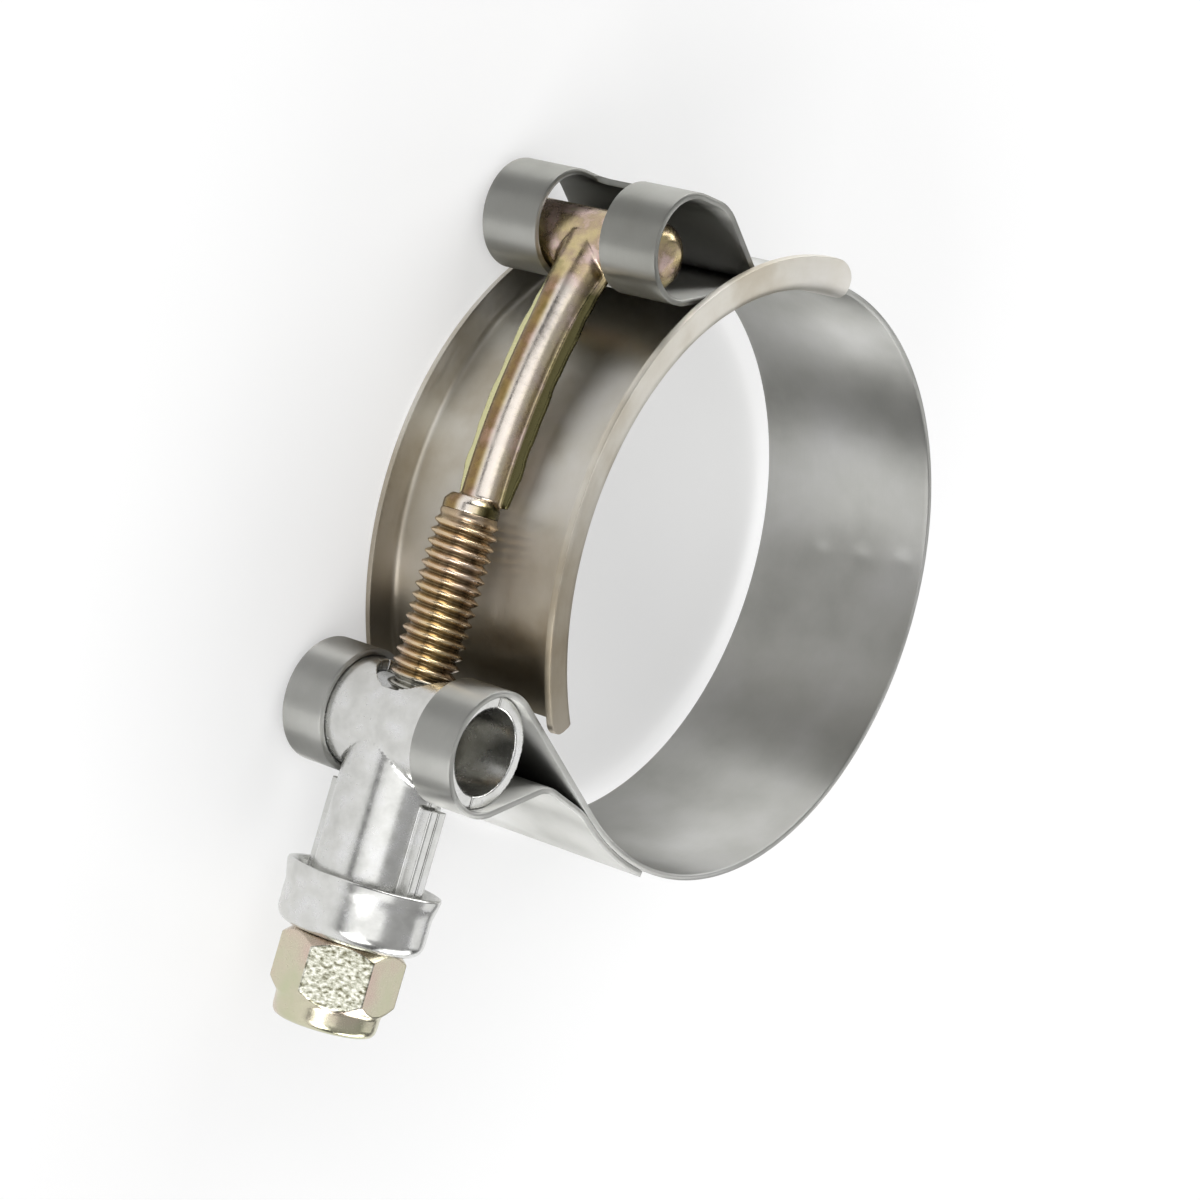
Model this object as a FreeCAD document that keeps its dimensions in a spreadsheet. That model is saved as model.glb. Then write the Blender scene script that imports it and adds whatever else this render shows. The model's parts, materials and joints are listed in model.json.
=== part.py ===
"""T-bolt hose clamp, built piece by piece as a parametric document.

The bore of the ring is the Z axis and the clamp lies on its side, as it does on a
bench. The bolt runs parallel to Y on the -X side: its cross head sits in the upper
loop of the strap, its thread passes through the pivot in the lower loop, and the
nut pulls the two loops together. All sizes are millimetres, all angles degrees.
"""
import FreeCAD, Part
import math
import os

import Sketcher

# Driving sizes

SIZES = {
    "bore_radius": 28.0,          # hose side of the bridge
    "bridge_sheet": 0.6,
    "strap_sheet": 0.6,
    "strap_width": 20.0,
    "lap_gap": 0.05,              # between sheets that are pressed together
    "edge_gap": 0.1,              # strap edge to bridge flange
    "flange_rise": 2.9,           # bridge flange above the back of the bridge
    "flange_lean": 8.0,           # flange leans outwards by this angle
    "bend_radius": 0.5,           # inside of the bridge's bends
    "bridge_from": 90.0,
    "bridge_to": 216.0,
    "flange_cut": 1.9,            # corner cut off the flange tips
    "head_loop_radius": 4.5,      # inside of the upper loop
    "head_loop_angle": 133.0,
    "head_loop_standoff": 7.2,    # loop centre above the strap
    "head_loop_flat": 2.5,        # straight run across the loop's top
    "flank_fall": 34.0,           # slope of the upper loop's closing side
    "lap_bend": 2.6,
    "head_lap_end": 96.0,
    "tail_lap_end": 260.5,
    "wave_rise": 24.0,
    "wave_fall": 16.0,
    "wave_bend": 3.2,
    "wave_run_out": 8.0,
    "head_slot": 7.5,
    "head_slot_end": -300.0,      # angle round the loop, on its closing side
    "tail_slot": 10.8,
    "tail_slot_room": 1.6,        # slot end beyond the stem's blend
    "slot_corner": 1.0,
    "slot_room": 0.8,             # slot end beyond what passes through it
    "thread_diameter": 6.0,
    "thread_room": 0.3,           # thread clear of the bridge
    "thread_start": 1.2,
    "thread_past_nut": -0.2,
    "thread_chamfer": 0.7,
    "neck_radius": 2.55,
    "shank_inset": 1.4,           # shank nearer to the ring than the thread's axis
    "shank_ridge": 2.3,           # outer half of the shank's section
    "shank_depth": 1.5,           # its inner half, towards the ring
    "shank_half_width": 2.1,
    "flash_reach": 3.5,           # flash of the forging dies, along both sides
    "flash_sheet": 0.6,
    "head_radius": 3.15,
    "head_inset": 1.5,            # head end inside the strap's edge
    "head_dome": 1.9,
    "hub_radius": 4.6,
    "hub_width": 6.6,
    "hub_top": 3.3,
    "pivot_room": 0.1,            # head and pivot tube in their loops
    "pivot_radius": 5.1,
    "pivot_drop": 20.85,
    "pivot_inset": 0.9,
    "shell_sheet": 1.1,
    "stem_bore": 3.7,             # radius that the thread passes through
    "stem_length": 18.4,          # pivot axis to the stem's end
    "stem_blend": 0.6,
    "wing_reach": 6.0,            # flat wings along the stem
    "wing_room": 0.5,             # wings start below the strap's loop
    "entry_radius": 4.1,          # hole where the thread enters the tube
    "cup_room": 0.5,              # stem and wings inside the cup, all round
    "cup_hole_room": 0.1,
    "cup_sheet": 0.75,
    "cup_height": 5.7,
    "cup_lip": 0.5,
    "cup_lip_height": 1.6,
    "cup_round": 1.4,
    "nut_flats": 10.0,
    "nut_turned": 21.0,           # rest position of the flats
    "nut_height": 8.0,
    "nut_hex_height": 5.7,
    "nut_crown_radius": 4.6,
    "nut_crimp": 0.5,
    "nut_washer_step": 0.2,       # turned face inside the flats
    "nut_crown_root": 0.15,       # crown starts above the hexagon
    "nut_room": 0.05,             # running fit on the thread, and nut to cup
    "insert_radius": 4.0,
    "insert_height": 1.8,
    "insert_cover": 0.5,          # rim crimped over the insert
    "insert_lap": 0.45,           # rim inside the insert's outer edge
    "insert_room": 0.02,
}

doc = FreeCAD.newDocument("t_bolt_clamp")
sheet = doc.addObject("Spreadsheet::Sheet", "Sizes")
for row, (alias, size) in enumerate(SIZES.items(), start=1):
    sheet.set(f"A{row}", alias)
    sheet.set(f"B{row}", str(size))
    sheet.setAlias(f"B{row}", alias)
doc.recompute()


def size(alias):
    """A driving size as a plain number, read from the sheet."""
    return float(sheet.get(alias))


# Places that several pieces share

strap_inside = size("bore_radius") + size("bridge_sheet") + size("lap_gap")
strap_middle = strap_inside + size("strap_sheet") / 2
strap_outside = strap_inside + size("strap_sheet")
lap_middle = strap_middle + size("strap_sheet") + size("lap_gap")
thread_radius = size("thread_diameter") / 2
bolt_offset = size("bore_radius") + size("bridge_sheet") + size("thread_room") + thread_radius
pivot_x, pivot_y = -bolt_offset, -size("pivot_drop")
loop_reach = strap_outside + size("head_loop_standoff")
loop_x = loop_reach * math.cos(math.radians(size("head_loop_angle")))
loop_y = loop_reach * math.sin(math.radians(size("head_loop_angle")))
head_x = loop_x
head_y = loop_y - (size("head_loop_radius") - size("head_radius") - size("pivot_room"))
shank_step = head_x + bolt_offset - size("shank_inset")
shank_bend = (shank_step**2 + head_y**2) / (2 * shank_step)
shank_turn = math.degrees(math.asin(head_y / shank_bend))
stem_end = pivot_y - size("stem_length")
stem_radius = size("stem_bore") + size("shell_sheet")
cup_floor = stem_end - size("cup_room")
cup_end = cup_floor - size("cup_sheet")

# The same places as expressions, for sizes that are bound to the sheet

THREAD_RADIUS = "Sizes.thread_diameter / 2"
BOLT_OFFSET = "(Sizes.bore_radius + Sizes.bridge_sheet + Sizes.thread_room + Sizes.thread_diameter / 2)"
STEM_END = "(Sizes.pivot_drop + Sizes.stem_length)"
CUP_END = "(Sizes.pivot_drop + Sizes.stem_length + Sizes.cup_room + Sizes.cup_sheet)"
NUT_BORE = "Sizes.thread_diameter / 2 + Sizes.nut_room"


# Helpers for sketches and features

def origin_plane(body, role):
    """One of the body's own origin planes, found by its role."""
    return next(feature for feature in body.Origin.OriginFeatures if feature.Role == role)


def new_sketch(body, name, role, offset=None):
    """An empty sketch on an origin plane of the body, moved along its normal by offset."""
    sketch = body.newObject("Sketcher::SketchObject", name)
    sketch.AttachmentSupport = [(origin_plane(body, role), "")]
    sketch.MapMode = "FlatFace"
    if offset is not None:
        sketch.setExpression("AttachmentOffset.Base.z", offset)
    return sketch


def bind(sketch, kind, references, expression):
    """Adds one dimension to the sketch and binds it to an expression."""
    index = sketch.addConstraint(Sketcher.Constraint(kind, *references, 1.0))
    sketch.setExpression(f"Constraints[{index}]", expression)


def bind_point(sketch, geometry, vertex, across, up):
    """Fixes a vertex by its distances from the sketch's origin; None keeps it on the axis."""
    if across is None:
        sketch.addConstraint(Sketcher.Constraint("PointOnObject", geometry, vertex, -2))
    else:
        bind(sketch, "DistanceX", (-1, 1, geometry, vertex), across)
    if up is None:
        sketch.addConstraint(Sketcher.Constraint("PointOnObject", geometry, vertex, -1))
    else:
        bind(sketch, "DistanceY", (-1, 1, geometry, vertex), up)


def draw_polygon(sketch, corners):
    """A closed outline of straight lines whose corners are pairs of expressions."""
    count = len(corners)
    turn = 2 * math.pi / count
    start = [FreeCAD.Vector(5 + 3 * math.cos(turn * i), 5 + 3 * math.sin(turn * i), 0) for i in range(count)]
    for i in range(count):
        sketch.addGeometry(Part.LineSegment(start[i], start[(i + 1) % count]))
    for i in range(count):
        sketch.addConstraint(Sketcher.Constraint("Coincident", i, 2, (i + 1) % count, 1))
    for i, (across, up) in enumerate(corners):
        bind_point(sketch, i, 1, across, up)


def draw_circle(sketch, radius, across=None, up=None):
    """A circle whose radius and centre are expressions; None keeps the centre on an axis."""
    centre = FreeCAD.Vector(1 if across else 0, 1 if up else 0, 0)
    index = sketch.addGeometry(Part.Circle(centre, FreeCAD.Vector(0, 0, 1), 1.0))
    bind(sketch, "Radius", (index,), radius)
    bind_point(sketch, index, 3, across, up)


def revolve(body, sketch, axis="V_Axis", angle=None, reverse=False):
    """Turns a sketch about one of its own axes, all the way round unless an angle is given."""
    feature = body.newObject("PartDesign::Revolution", sketch.Name + "_turned")
    feature.Profile = sketch
    feature.ReferenceAxis = (sketch, [axis])
    feature.Angle = 360
    feature.Reversed = reverse
    if angle is not None:
        feature.setExpression("Angle", angle)
    sketch.Visibility = False
    doc.recompute()
    return feature


def pad(body, sketch, length, both_ways=False, reverse=False):
    """Pads a sketch to a length that is bound to the sheet."""
    feature = body.newObject("PartDesign::Pad", sketch.Name + "_pad")
    feature.Profile = sketch
    feature.Length = 1.0
    feature.setExpression("Length", length)
    feature.Midplane = both_ways
    feature.Reversed = reverse
    doc.recompute()
    return feature


def pocket_through(body, sketch):
    """Cuts a sketch right through the body, both ways from its plane."""
    before = body.Shape.Volume
    feature = body.newObject("PartDesign::Pocket", sketch.Name + "_pocket")
    feature.Profile = sketch
    feature.Type = "ThroughAll"
    feature.Midplane = True
    doc.recompute()
    if body.Shape.Volume >= before:
        raise RuntimeError(f"{feature.Name} cut nothing")
    return feature


def edges_where(shape, wanted):
    """Names of the edges that pass a test."""
    return [f"Edge{i}" for i, edge in enumerate(shape.Edges, start=1) if wanted(edge)]


def dress(body, kind, wanted, amount):
    """Fillets or chamfers the edges of the body's tip that pass a test."""
    base = body.Tip
    names = edges_where(base.Shape, wanted)
    if not names:
        raise RuntimeError(f"{body.Label}: no edge for {kind}")
    feature = body.newObject(f"PartDesign::{kind}", f"{body.Name}_{kind}_{len(body.Group)}")
    feature.Base = (base, names)
    feature.setExpression("Radius" if kind == "Fillet" else "Size", amount)
    doc.recompute()
    return feature


def is_circle(edge, radius=None):
    """True for an edge on a circle, of the given radius if there is one."""
    if not isinstance(edge.Curve, Part.Circle):
        return False
    return radius is None or abs(edge.Curve.Radius - radius) < 1e-4


def edge_y(edge):
    """Height of an edge's middle along Y."""
    return edge.BoundBox.Center.y


# Bent sheet, walked along its middle line

class SheetPath:
    """A strip's middle line as straight runs and tangent bends, walked from a start.

    Left turns are positive. The strip's two sides are the same walk moved to the left
    and to the right by half the sheet, which keeps every run and changes every bend's
    radius, so the outline has only lines and true arcs.
    """

    def __init__(self, x, y, heading):
        self.start = (x, y, heading)
        self.steps = []

    def run(self, length):
        self.steps.append(("run", length, 0.0))

    def bend(self, radius, turn):
        self.steps.append(("bend", radius, turn))

    def side(self, offset):
        """Edges of the walk moved to its left by offset, and its two end points."""
        x, y, heading = self.start
        point = moved(x, y, heading + 90, offset)
        first = point
        edges = []
        for kind, amount, turn in self.steps:
            if kind == "run":
                target = moved(*point, heading, amount)
                edges.append(Part.LineSegment(vector(point), vector(target)).toShape())
            else:
                sign = 1 if turn > 0 else -1
                radius = amount - sign * offset
                centre = moved(*point, heading + 90 * sign, radius)
                middle = moved(*centre, heading - 90 * sign + turn / 2, radius)
                target = moved(*centre, heading - 90 * sign + turn, radius)
                edges.append(Part.Arc(vector(point), vector(middle), vector(target)).toShape())
                heading += turn
            point = target
        return edges, first, point

    def end(self):
        """Where the walk ends: x, y and heading."""
        x, y, heading = self.start
        for kind, amount, turn in self.steps:
            if kind == "run":
                x, y = moved(x, y, heading, amount)
            else:
                sign = 1 if turn > 0 else -1
                centre = moved(x, y, heading + 90 * sign, amount)
                x, y = moved(*centre, heading - 90 * sign + turn, amount)
                heading += turn
        return x, y, heading

    def face(self, thickness):
        """The strip's section: both sides and the two cut ends."""
        left, left_first, left_last = self.side(thickness / 2)
        right, right_first, right_last = self.side(-thickness / 2)
        caps = [Part.LineSegment(vector(left_last), vector(right_last)).toShape(),
                Part.LineSegment(vector(right_first), vector(left_first)).toShape()]
        wire = Part.Wire(Part.__sortEdges__(left + right + caps))
        return Part.Face(wire)


def vector(point):
    return FreeCAD.Vector(point[0], point[1], 0)


def moved(x, y, heading, distance):
    """A point moved along a heading."""
    angle = math.radians(heading)
    return x + distance * math.cos(angle), y + distance * math.sin(angle)


def shape_object(name, shape):
    """A document object for a shape that no feature makes."""
    holder = doc.addObject("Part::Feature", name)
    holder.Shape = shape
    return holder


# Strap: one strip from the lap over the upper loop, round the ring, to the lower lap

def strap_tangent(x, y, reach):
    """Angle between the line to a loop's centre and the normal of the leg that leaves the ring."""
    return math.degrees(math.acos((strap_middle + reach) / math.hypot(x, y)))


head_middle = size("head_loop_radius") + size("strap_sheet") / 2
tail_middle = size("pivot_radius") + size("pivot_room") + size("strap_sheet") / 2
head_leaves = size("head_loop_angle") - strap_tangent(loop_x, loop_y, head_middle)
tail_angle = math.degrees(math.atan2(pivot_y, pivot_x)) % 360
tail_leaves = tail_angle + strap_tangent(pivot_x, pivot_y, tail_middle)
head_leg = math.sqrt(loop_reach**2 - (strap_middle + head_middle) ** 2)
tail_leg = math.sqrt(bolt_offset**2 + pivot_y**2 - (strap_middle + tail_middle) ** 2)


def two_runs(start, end, first, second, bends):
    """Lengths of the two straight runs of a closing stretch of the strap.

    The stretch goes from start to end: a run along the heading first, a bend, a run
    along the heading second and perhaps another bend. Both bends' own way is taken off,
    and what is left is a pair of equations in the two lengths.
    """
    probe = SheetPath(0, 0, first)
    for radius, turn in bends:
        probe.bend(radius, turn)
    across = end[0] - start[0] - probe.end()[0]
    up = end[1] - start[1] - probe.end()[1]
    one = moved(0, 0, first, 1)
    two = moved(0, 0, second, 1)
    whole = one[0] * two[1] - one[1] * two[0]
    return (across * two[1] - up * two[0]) / whole, (one[0] * up - one[1] * across) / whole


def strap_path():
    """The strap's middle line, from the upper lap's end to the lower lap's end."""
    on_leg = head_leaves + 90
    slope = 180 - size("flank_fall")
    corner = moved(loop_x + size("head_loop_flat"), loop_y, 90 - size("flank_fall"), head_middle)
    hollow = (size("lap_bend"), slope - on_leg)
    lap_run, flank = two_runs(moved(0, 0, head_leaves, lap_middle), corner, on_leg, slope, [hollow])
    path = SheetPath(*moved(0, 0, size("head_lap_end"), lap_middle), size("head_lap_end") + 90)
    path.bend(lap_middle, head_leaves - size("head_lap_end"))
    path.run(lap_run)
    path.bend(*hollow)
    path.run(flank)
    path.bend(head_middle, size("flank_fall"))
    path.run(size("head_loop_flat"))
    path.bend(head_middle, head_leaves + 90)
    path.run(head_leg)
    path.bend(strap_middle, tail_leaves - head_leaves - 360)
    path.run(tail_leg)
    path.bend(tail_middle, size("wave_rise") + 450 - tail_leaves)
    crest = (size("wave_bend"), -size("wave_rise") - size("wave_fall"))
    landing = (size("wave_run_out"), tail_leaves - 270 + size("wave_fall"))
    up, down = two_runs(path.end(), moved(0, 0, tail_leaves, lap_middle),
                        size("wave_rise"), -size("wave_fall"), [crest, landing])
    path.run(up)
    path.bend(*crest)
    path.run(down)
    path.bend(*landing)
    path.bend(lap_middle, size("tail_lap_end") - tail_leaves)
    return path


def slot_cutter(x, y, reach, first, last, width):
    """A wedge about a loop's centre, from one angle to another, with rounded ends."""
    corner = moved(x, y, first, reach)
    middle = moved(x, y, (first + last) / 2, reach)
    far = moved(x, y, last, reach)
    outline = [Part.LineSegment(vector((x, y)), vector(corner)).toShape(),
               Part.Arc(vector(corner), vector(middle), vector(far)).toShape(),
               Part.LineSegment(vector(far), vector((x, y))).toShape()]
    solid = Part.Face(Part.Wire(outline)).extrude(FreeCAD.Vector(0, 0, width))
    solid.translate(FreeCAD.Vector(0, 0, -width / 2))
    centre = FreeCAD.Vector(x, y, 0)

    def at_slot_end(edge):
        if not isinstance(edge.Curve, Part.Line) or edge.Length < reach / 2:
            return False
        touches = any(abs(v.X - x) + abs(v.Y - y) < 1e-6 for v in edge.Vertexes)
        return touches and (edge.BoundBox.Center - centre).Length > reach / 4
    ends = [edge for edge in solid.Edges if at_slot_end(edge)]
    return solid.makeFillet(size("slot_corner"), ends)


def angle_from(x, y, point):
    return math.degrees(math.atan2(point[1] - y, point[0] - x))


def head_slot_angles():
    """From beside the shank, round the outside of the loop, to the closing side."""
    shank_heading = 270 - shank_turn
    beside = moved(head_x, head_y, shank_heading + 90, size("shank_ridge") + size("slot_room"))
    wall = moved(*beside, shank_heading, head_middle - size("head_radius"))
    return angle_from(loop_x, loop_y, wall), size("head_slot_end")


def tail_slot_angles():
    """From beside the thread on the leg, round the loop, to beside the stem."""
    above = (pivot_x + thread_radius + size("slot_room"), pivot_y + tail_middle * 0.75)
    rise = size("wave_rise")
    foot = moved(pivot_x, pivot_y, rise - 90, tail_middle)
    beyond = pivot_x + stem_radius + size("tail_slot_room") - foot[0]
    below = moved(*foot, rise, beyond / math.cos(math.radians(rise)))
    return angle_from(pivot_x, pivot_y, above), 360 + angle_from(pivot_x, pivot_y, below)


def make_band():
    section = shape_object("strap_section", strap_path().face(size("strap_sheet")))
    strip = doc.addObject("Part::Extrusion", "strap_strip")
    strip.Base = section
    strip.DirMode = "Custom"
    strip.Dir = FreeCAD.Vector(0, 0, 1)
    strip.Solid = True
    strip.Symmetric = True
    strip.setExpression("LengthFwd", "Sizes.strap_width")
    reach = 2.2 * tail_middle
    head_slot = shape_object("head_slot_tool", slot_cutter(
        loop_x, loop_y, reach, *head_slot_angles(), size("head_slot")))
    tail_slot = shape_object("tail_slot_tool", slot_cutter(
        pivot_x, pivot_y, reach, *tail_slot_angles(), size("tail_slot")))
    slots = doc.addObject("Part::MultiFuse", "strap_slots")
    slots.Shapes = [head_slot, tail_slot]
    band = doc.addObject("Part::Cut", "band")
    band.Base = strip
    band.Tool = slots
    return band


# Bridge: the inner channel that closes the ring under the bolt

def make_bridge():
    body = doc.addObject("PartDesign::Body", "bridge")
    section = new_sketch(body, "bridge_section", "XZ_Plane")
    back = "(Sizes.bore_radius + Sizes.bridge_sheet)"
    tip = f"({back} + Sizes.flange_rise)"
    inner_root = "(Sizes.strap_width / 2 + Sizes.edge_gap)"
    slant = "Sizes.bridge_sheet / cos(Sizes.flange_lean)"
    outer_root = f"({inner_root} + {slant} - Sizes.bridge_sheet * tan(Sizes.flange_lean))"
    inner_tip = f"({inner_root} + Sizes.flange_rise * tan(Sizes.flange_lean))"
    outer_tip = f"({inner_tip} + {slant})"
    near = [("Sizes.bore_radius", outer_root), (tip, outer_tip), (tip, inner_tip), (back, inner_root)]
    far = [(across, f"-{up}") for across, up in reversed(near)]
    draw_polygon(section, near + far)
    revolve(body, section, angle="Sizes.bridge_to - Sizes.bridge_from")
    if body.Shape.BoundBox.Center.y < 0:
        body.Tip.Reversed = True
        doc.recompute()
    inner = size("bore_radius") + size("bridge_sheet")
    dress(body, "Fillet", lambda edge: is_circle(edge, inner), "Sizes.bend_radius")
    dress(body, "Fillet", lambda edge: is_circle(edge, size("bore_radius")),
          "Sizes.bend_radius + Sizes.bridge_sheet")
    span = size("bridge_to") - size("bridge_from")
    for name, angle in (("first_corner", 0.0), ("last_corner", span)):
        corner_cut(body, name, angle, inner + size("flange_rise"))
    body.setExpression("Placement.Rotation.Angle", "Sizes.bridge_from")
    body.Placement.Rotation.Axis = FreeCAD.Vector(0, 0, 1)
    return body


def corner_cut(body, name, angle, tip):
    """Takes the sharp corner off both flanges at one end of the bridge."""
    inward = 1 if angle == 0 else -1
    cut = size("flange_cut")
    lean = math.degrees(2 * cut / tip)
    on_end = moved(0, 0, angle, tip - cut)
    on_tip = moved(0, 0, angle + inward * lean, tip + 0.05)
    outside = moved(0, 0, angle - inward * lean / 2, tip + cut)
    below = moved(0, 0, angle - inward * lean / 2, tip - cut)
    sketch = new_sketch(body, name, "XY_Plane")
    corners = [vector(point) for point in (on_end, on_tip, outside, below)]
    for i, corner in enumerate(corners):
        sketch.addGeometry(Part.LineSegment(corner, corners[(i + 1) % len(corners)]))
    for i in range(len(corners)):
        sketch.addConstraint(Sketcher.Constraint("Coincident", i, 2, (i + 1) % len(corners), 1))
    doc.recompute()
    pocket_through(body, sketch)


# Bolt: forged cross head and curved shank, with a rolled thread

def make_t_bolt():
    """Built about the centre of the shank's curve, turned so that +Y runs down the thread."""
    body = doc.addObject("PartDesign::Body", "t_bolt")
    turn = math.radians(shank_turn)
    head_across = str(shank_bend * math.cos(turn))
    head_up = f"-{head_y}"

    hub = new_sketch(body, "hub", "XY_Plane")
    draw_circle(hub, "Sizes.hub_radius", head_across, head_up)
    pad(body, hub, "Sizes.hub_width", both_ways=True)
    trim = new_sketch(body, "hub_trim", "XY_Plane")
    head = (shank_bend * math.cos(turn), -head_y)
    big = 3 * size("hub_radius")
    along = 90 - shank_turn
    side_a = moved(*head, along, big)
    side_b = moved(*head, along + 180, big)
    side_c = moved(*side_b, along + 90, big)
    side_d = moved(*side_a, along + 90, big)
    free_polygon(trim, [side_a, side_b, side_c, side_d])
    pocket_through(body, trim)
    top = new_sketch(body, "hub_top", "XY_Plane")
    level = head[1] - size("hub_top")
    free_polygon(top, [(head[0] - big, level), (head[0] + big, level),
                       (head[0] + big, level - big), (head[0] - big, level - big)])
    pocket_through(body, top)

    bar = new_sketch(body, "cross_bar", "XY_Plane")
    draw_circle(bar, "Sizes.head_radius", head_across, head_up)
    pad(body, bar, "Sizes.strap_width - 2 * Sizes.head_inset", both_ways=True)
    dress(body, "Fillet", lambda edge: is_circle(edge, size("head_radius"))
          and abs(edge.BoundBox.Center.z) > size("hub_width"), "Sizes.head_dome")

    section = new_sketch(body, "shank_section", "XZ_Plane")
    draw_shank_section(section)
    turned = revolve(body, section, angle=str(shank_turn), reverse=True)
    if turned.Shape.BoundBox.YMax > 1:
        turned.Reversed = False
        doc.recompute()

    thread_across = f"{shank_bend} + Sizes.shank_inset"
    neck = new_sketch(body, "neck", "XZ_Plane")
    draw_circle(neck, "Sizes.neck_radius", thread_across)
    pad(body, neck, "Sizes.thread_start", reverse=True)
    thread = new_sketch(body, "thread", "XZ_Plane", "-Sizes.thread_start")
    draw_circle(thread, THREAD_RADIUS, thread_across)
    pad(body, thread, f"{CUP_END} + Sizes.nut_room + Sizes.nut_height + Sizes.thread_past_nut"
        " - Sizes.thread_start", reverse=True)
    dress(body, "Chamfer", lambda edge: is_circle(edge, thread_radius)
          and edge_y(edge) > -stem_end, "Sizes.thread_chamfer")
    bend_centre = shank_bend + size("shank_inset") - bolt_offset
    body.Placement = FreeCAD.Placement(FreeCAD.Vector(bend_centre, 0, 0),
                                       FreeCAD.Rotation(FreeCAD.Vector(0, 0, 1), 180))
    return body


def free_polygon(sketch, corners):
    """A closed outline through worked-out points."""
    count = len(corners)
    for i in range(count):
        sketch.addGeometry(Part.LineSegment(vector(corners[i]), vector(corners[(i + 1) % count])))
    for i in range(count):
        sketch.addConstraint(Sketcher.Constraint("Coincident", i, 2, (i + 1) % count, 1))
    doc.recompute()


def draw_shank_section(sketch):
    """A ridge away from the ring, a flatter side towards it, and the flash between them."""
    width = size("shank_half_width")
    reach = size("flash_reach")
    outer = shank_bend + size("flash_sheet") / 2
    inner = shank_bend - size("flash_sheet") / 2
    ridge = [(outer, -width), (shank_bend + size("shank_ridge"), 0), (outer, width)]
    hollow = [(inner, width), (shank_bend - size("shank_depth"), 0), (inner, -width)]
    upper = [ridge[-1], (outer, reach), (inner, reach), hollow[0]]
    lower = [hollow[-1], (inner, -reach), (outer, -reach), ridge[0]]
    sketch.addGeometry(Part.Arc(*map(vector, ridge)))
    for first, second in zip(upper, upper[1:]):
        sketch.addGeometry(Part.LineSegment(vector(first), vector(second)))
    sketch.addGeometry(Part.Arc(*map(vector, hollow)))
    for first, second in zip(lower, lower[1:]):
        sketch.addGeometry(Part.LineSegment(vector(first), vector(second)))
    count = sketch.GeometryCount
    for i in range(count):
        sketch.addConstraint(Sketcher.Constraint("Coincident", i, 2, (i + 1) % count, 1))
    doc.recompute()


# Pivot: two stamped shells, mirror images, that form a cross tube and a stem

def bound(kind, name, sizes, places=None):
    """A Part primitive with its sizes and its place bound to the sheet."""
    solid = doc.addObject(kind, name)
    for key, expression in sizes.items():
        solid.setExpression(key, expression)
    for key, expression in (places or {}).items():
        solid.setExpression(f"Placement.Base.{key}", expression)
    return solid


def down(solid):
    """Turns a cylinder that stands on its base so that it runs along -Y."""
    solid.Placement.Rotation = FreeCAD.Rotation(FreeCAD.Vector(1, 0, 0), 90)
    return solid


def make_shells():
    """The outer shell is one half of the pressed pivot, and the inner one mirrors it."""
    across = f"-{BOLT_OFFSET}"
    drop = "-Sizes.pivot_drop"
    half_tube = "(Sizes.strap_width / 2 - Sizes.pivot_inset)"
    stem_outside = "Sizes.stem_bore + Sizes.shell_sheet"
    tube = bound("Part::Cylinder", "tube_outside",
                 {"Radius": "Sizes.pivot_radius", "Height": f"2 * {half_tube}"},
                 {"x": across, "y": drop, "z": f"-{half_tube}"})
    stem = down(bound("Part::Cylinder", "stem_outside",
                      {"Radius": stem_outside, "Height": "Sizes.stem_length"}, {"x": across, "y": drop}))
    cross = doc.addObject("Part::MultiFuse", "cross_and_stem")
    cross.Shapes = [tube, stem]
    side = bound("Part::Box", "outer_side",
                 {"Length": "2 * Sizes.pivot_radius", "Width": "2 * Sizes.stem_length",
                  "Height": "2 * Sizes.strap_width"},
                 {"x": f"-{BOLT_OFFSET} - 2 * Sizes.pivot_radius", "y": f"-{STEM_END} - 1",
                  "z": "-Sizes.strap_width"})
    half = doc.addObject("Part::Common", "outer_half")
    half.Base = cross
    half.Tool = side
    doc.recompute()
    joins = [i for i, edge in enumerate(half.Shape.Edges, start=1)
             if not isinstance(edge.Curve, (Part.Circle, Part.Line))]
    blend = doc.addObject("Part::Fillet", "stem_blend")
    blend.Base = half
    blend.Edges = [(i, size("stem_blend"), size("stem_blend")) for i in joins]
    loop_room = "Sizes.pivot_radius + Sizes.pivot_room + Sizes.strap_sheet + Sizes.wing_room"
    wings = bound("Part::Box", "stem_wings",
                  {"Length": "Sizes.shell_sheet", "Width": f"Sizes.stem_length - ({loop_room})",
                   "Height": "2 * Sizes.wing_reach"},
                  {"x": f"-{BOLT_OFFSET} - Sizes.shell_sheet", "y": f"-{STEM_END}", "z": "-Sizes.wing_reach"})
    outside = doc.addObject("Part::MultiFuse", "pressed_outside")
    outside.Shapes = [blend, wings]
    tube_bore = bound("Part::Cylinder", "tube_inside",
                      {"Radius": "Sizes.pivot_radius - Sizes.shell_sheet", "Height": "Sizes.strap_width"},
                      {"x": across, "y": drop, "z": "-Sizes.strap_width / 2"})
    stem_bore = down(bound("Part::Cylinder", "stem_inside",
                           {"Radius": "Sizes.stem_bore", "Height": "Sizes.stem_length + 1"},
                           {"x": across, "y": drop}))
    entry = down(bound("Part::Cylinder", "entry_hole",
                       {"Radius": "Sizes.entry_radius", "Height": "2 * Sizes.pivot_radius"},
                       {"x": across, "y": "-Sizes.pivot_drop + 2 * Sizes.pivot_radius"}))
    hollow = doc.addObject("Part::MultiFuse", "pressed_inside")
    hollow.Shapes = [tube_bore, stem_bore, entry]
    outer = doc.addObject("Part::Cut", "trunnion_outer_shell")
    outer.Base = outside
    outer.Tool = hollow
    inner = doc.addObject("Part::Mirroring", "trunnion_inner_shell")
    inner.Source = outer
    inner.Normal = FreeCAD.Vector(1, 0, 0)
    inner.setExpression("Base.x", across)
    return [outer, inner]


# Cup, nut and insert: turned about the thread, drawn with the thread along the sketch's Y

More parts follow.
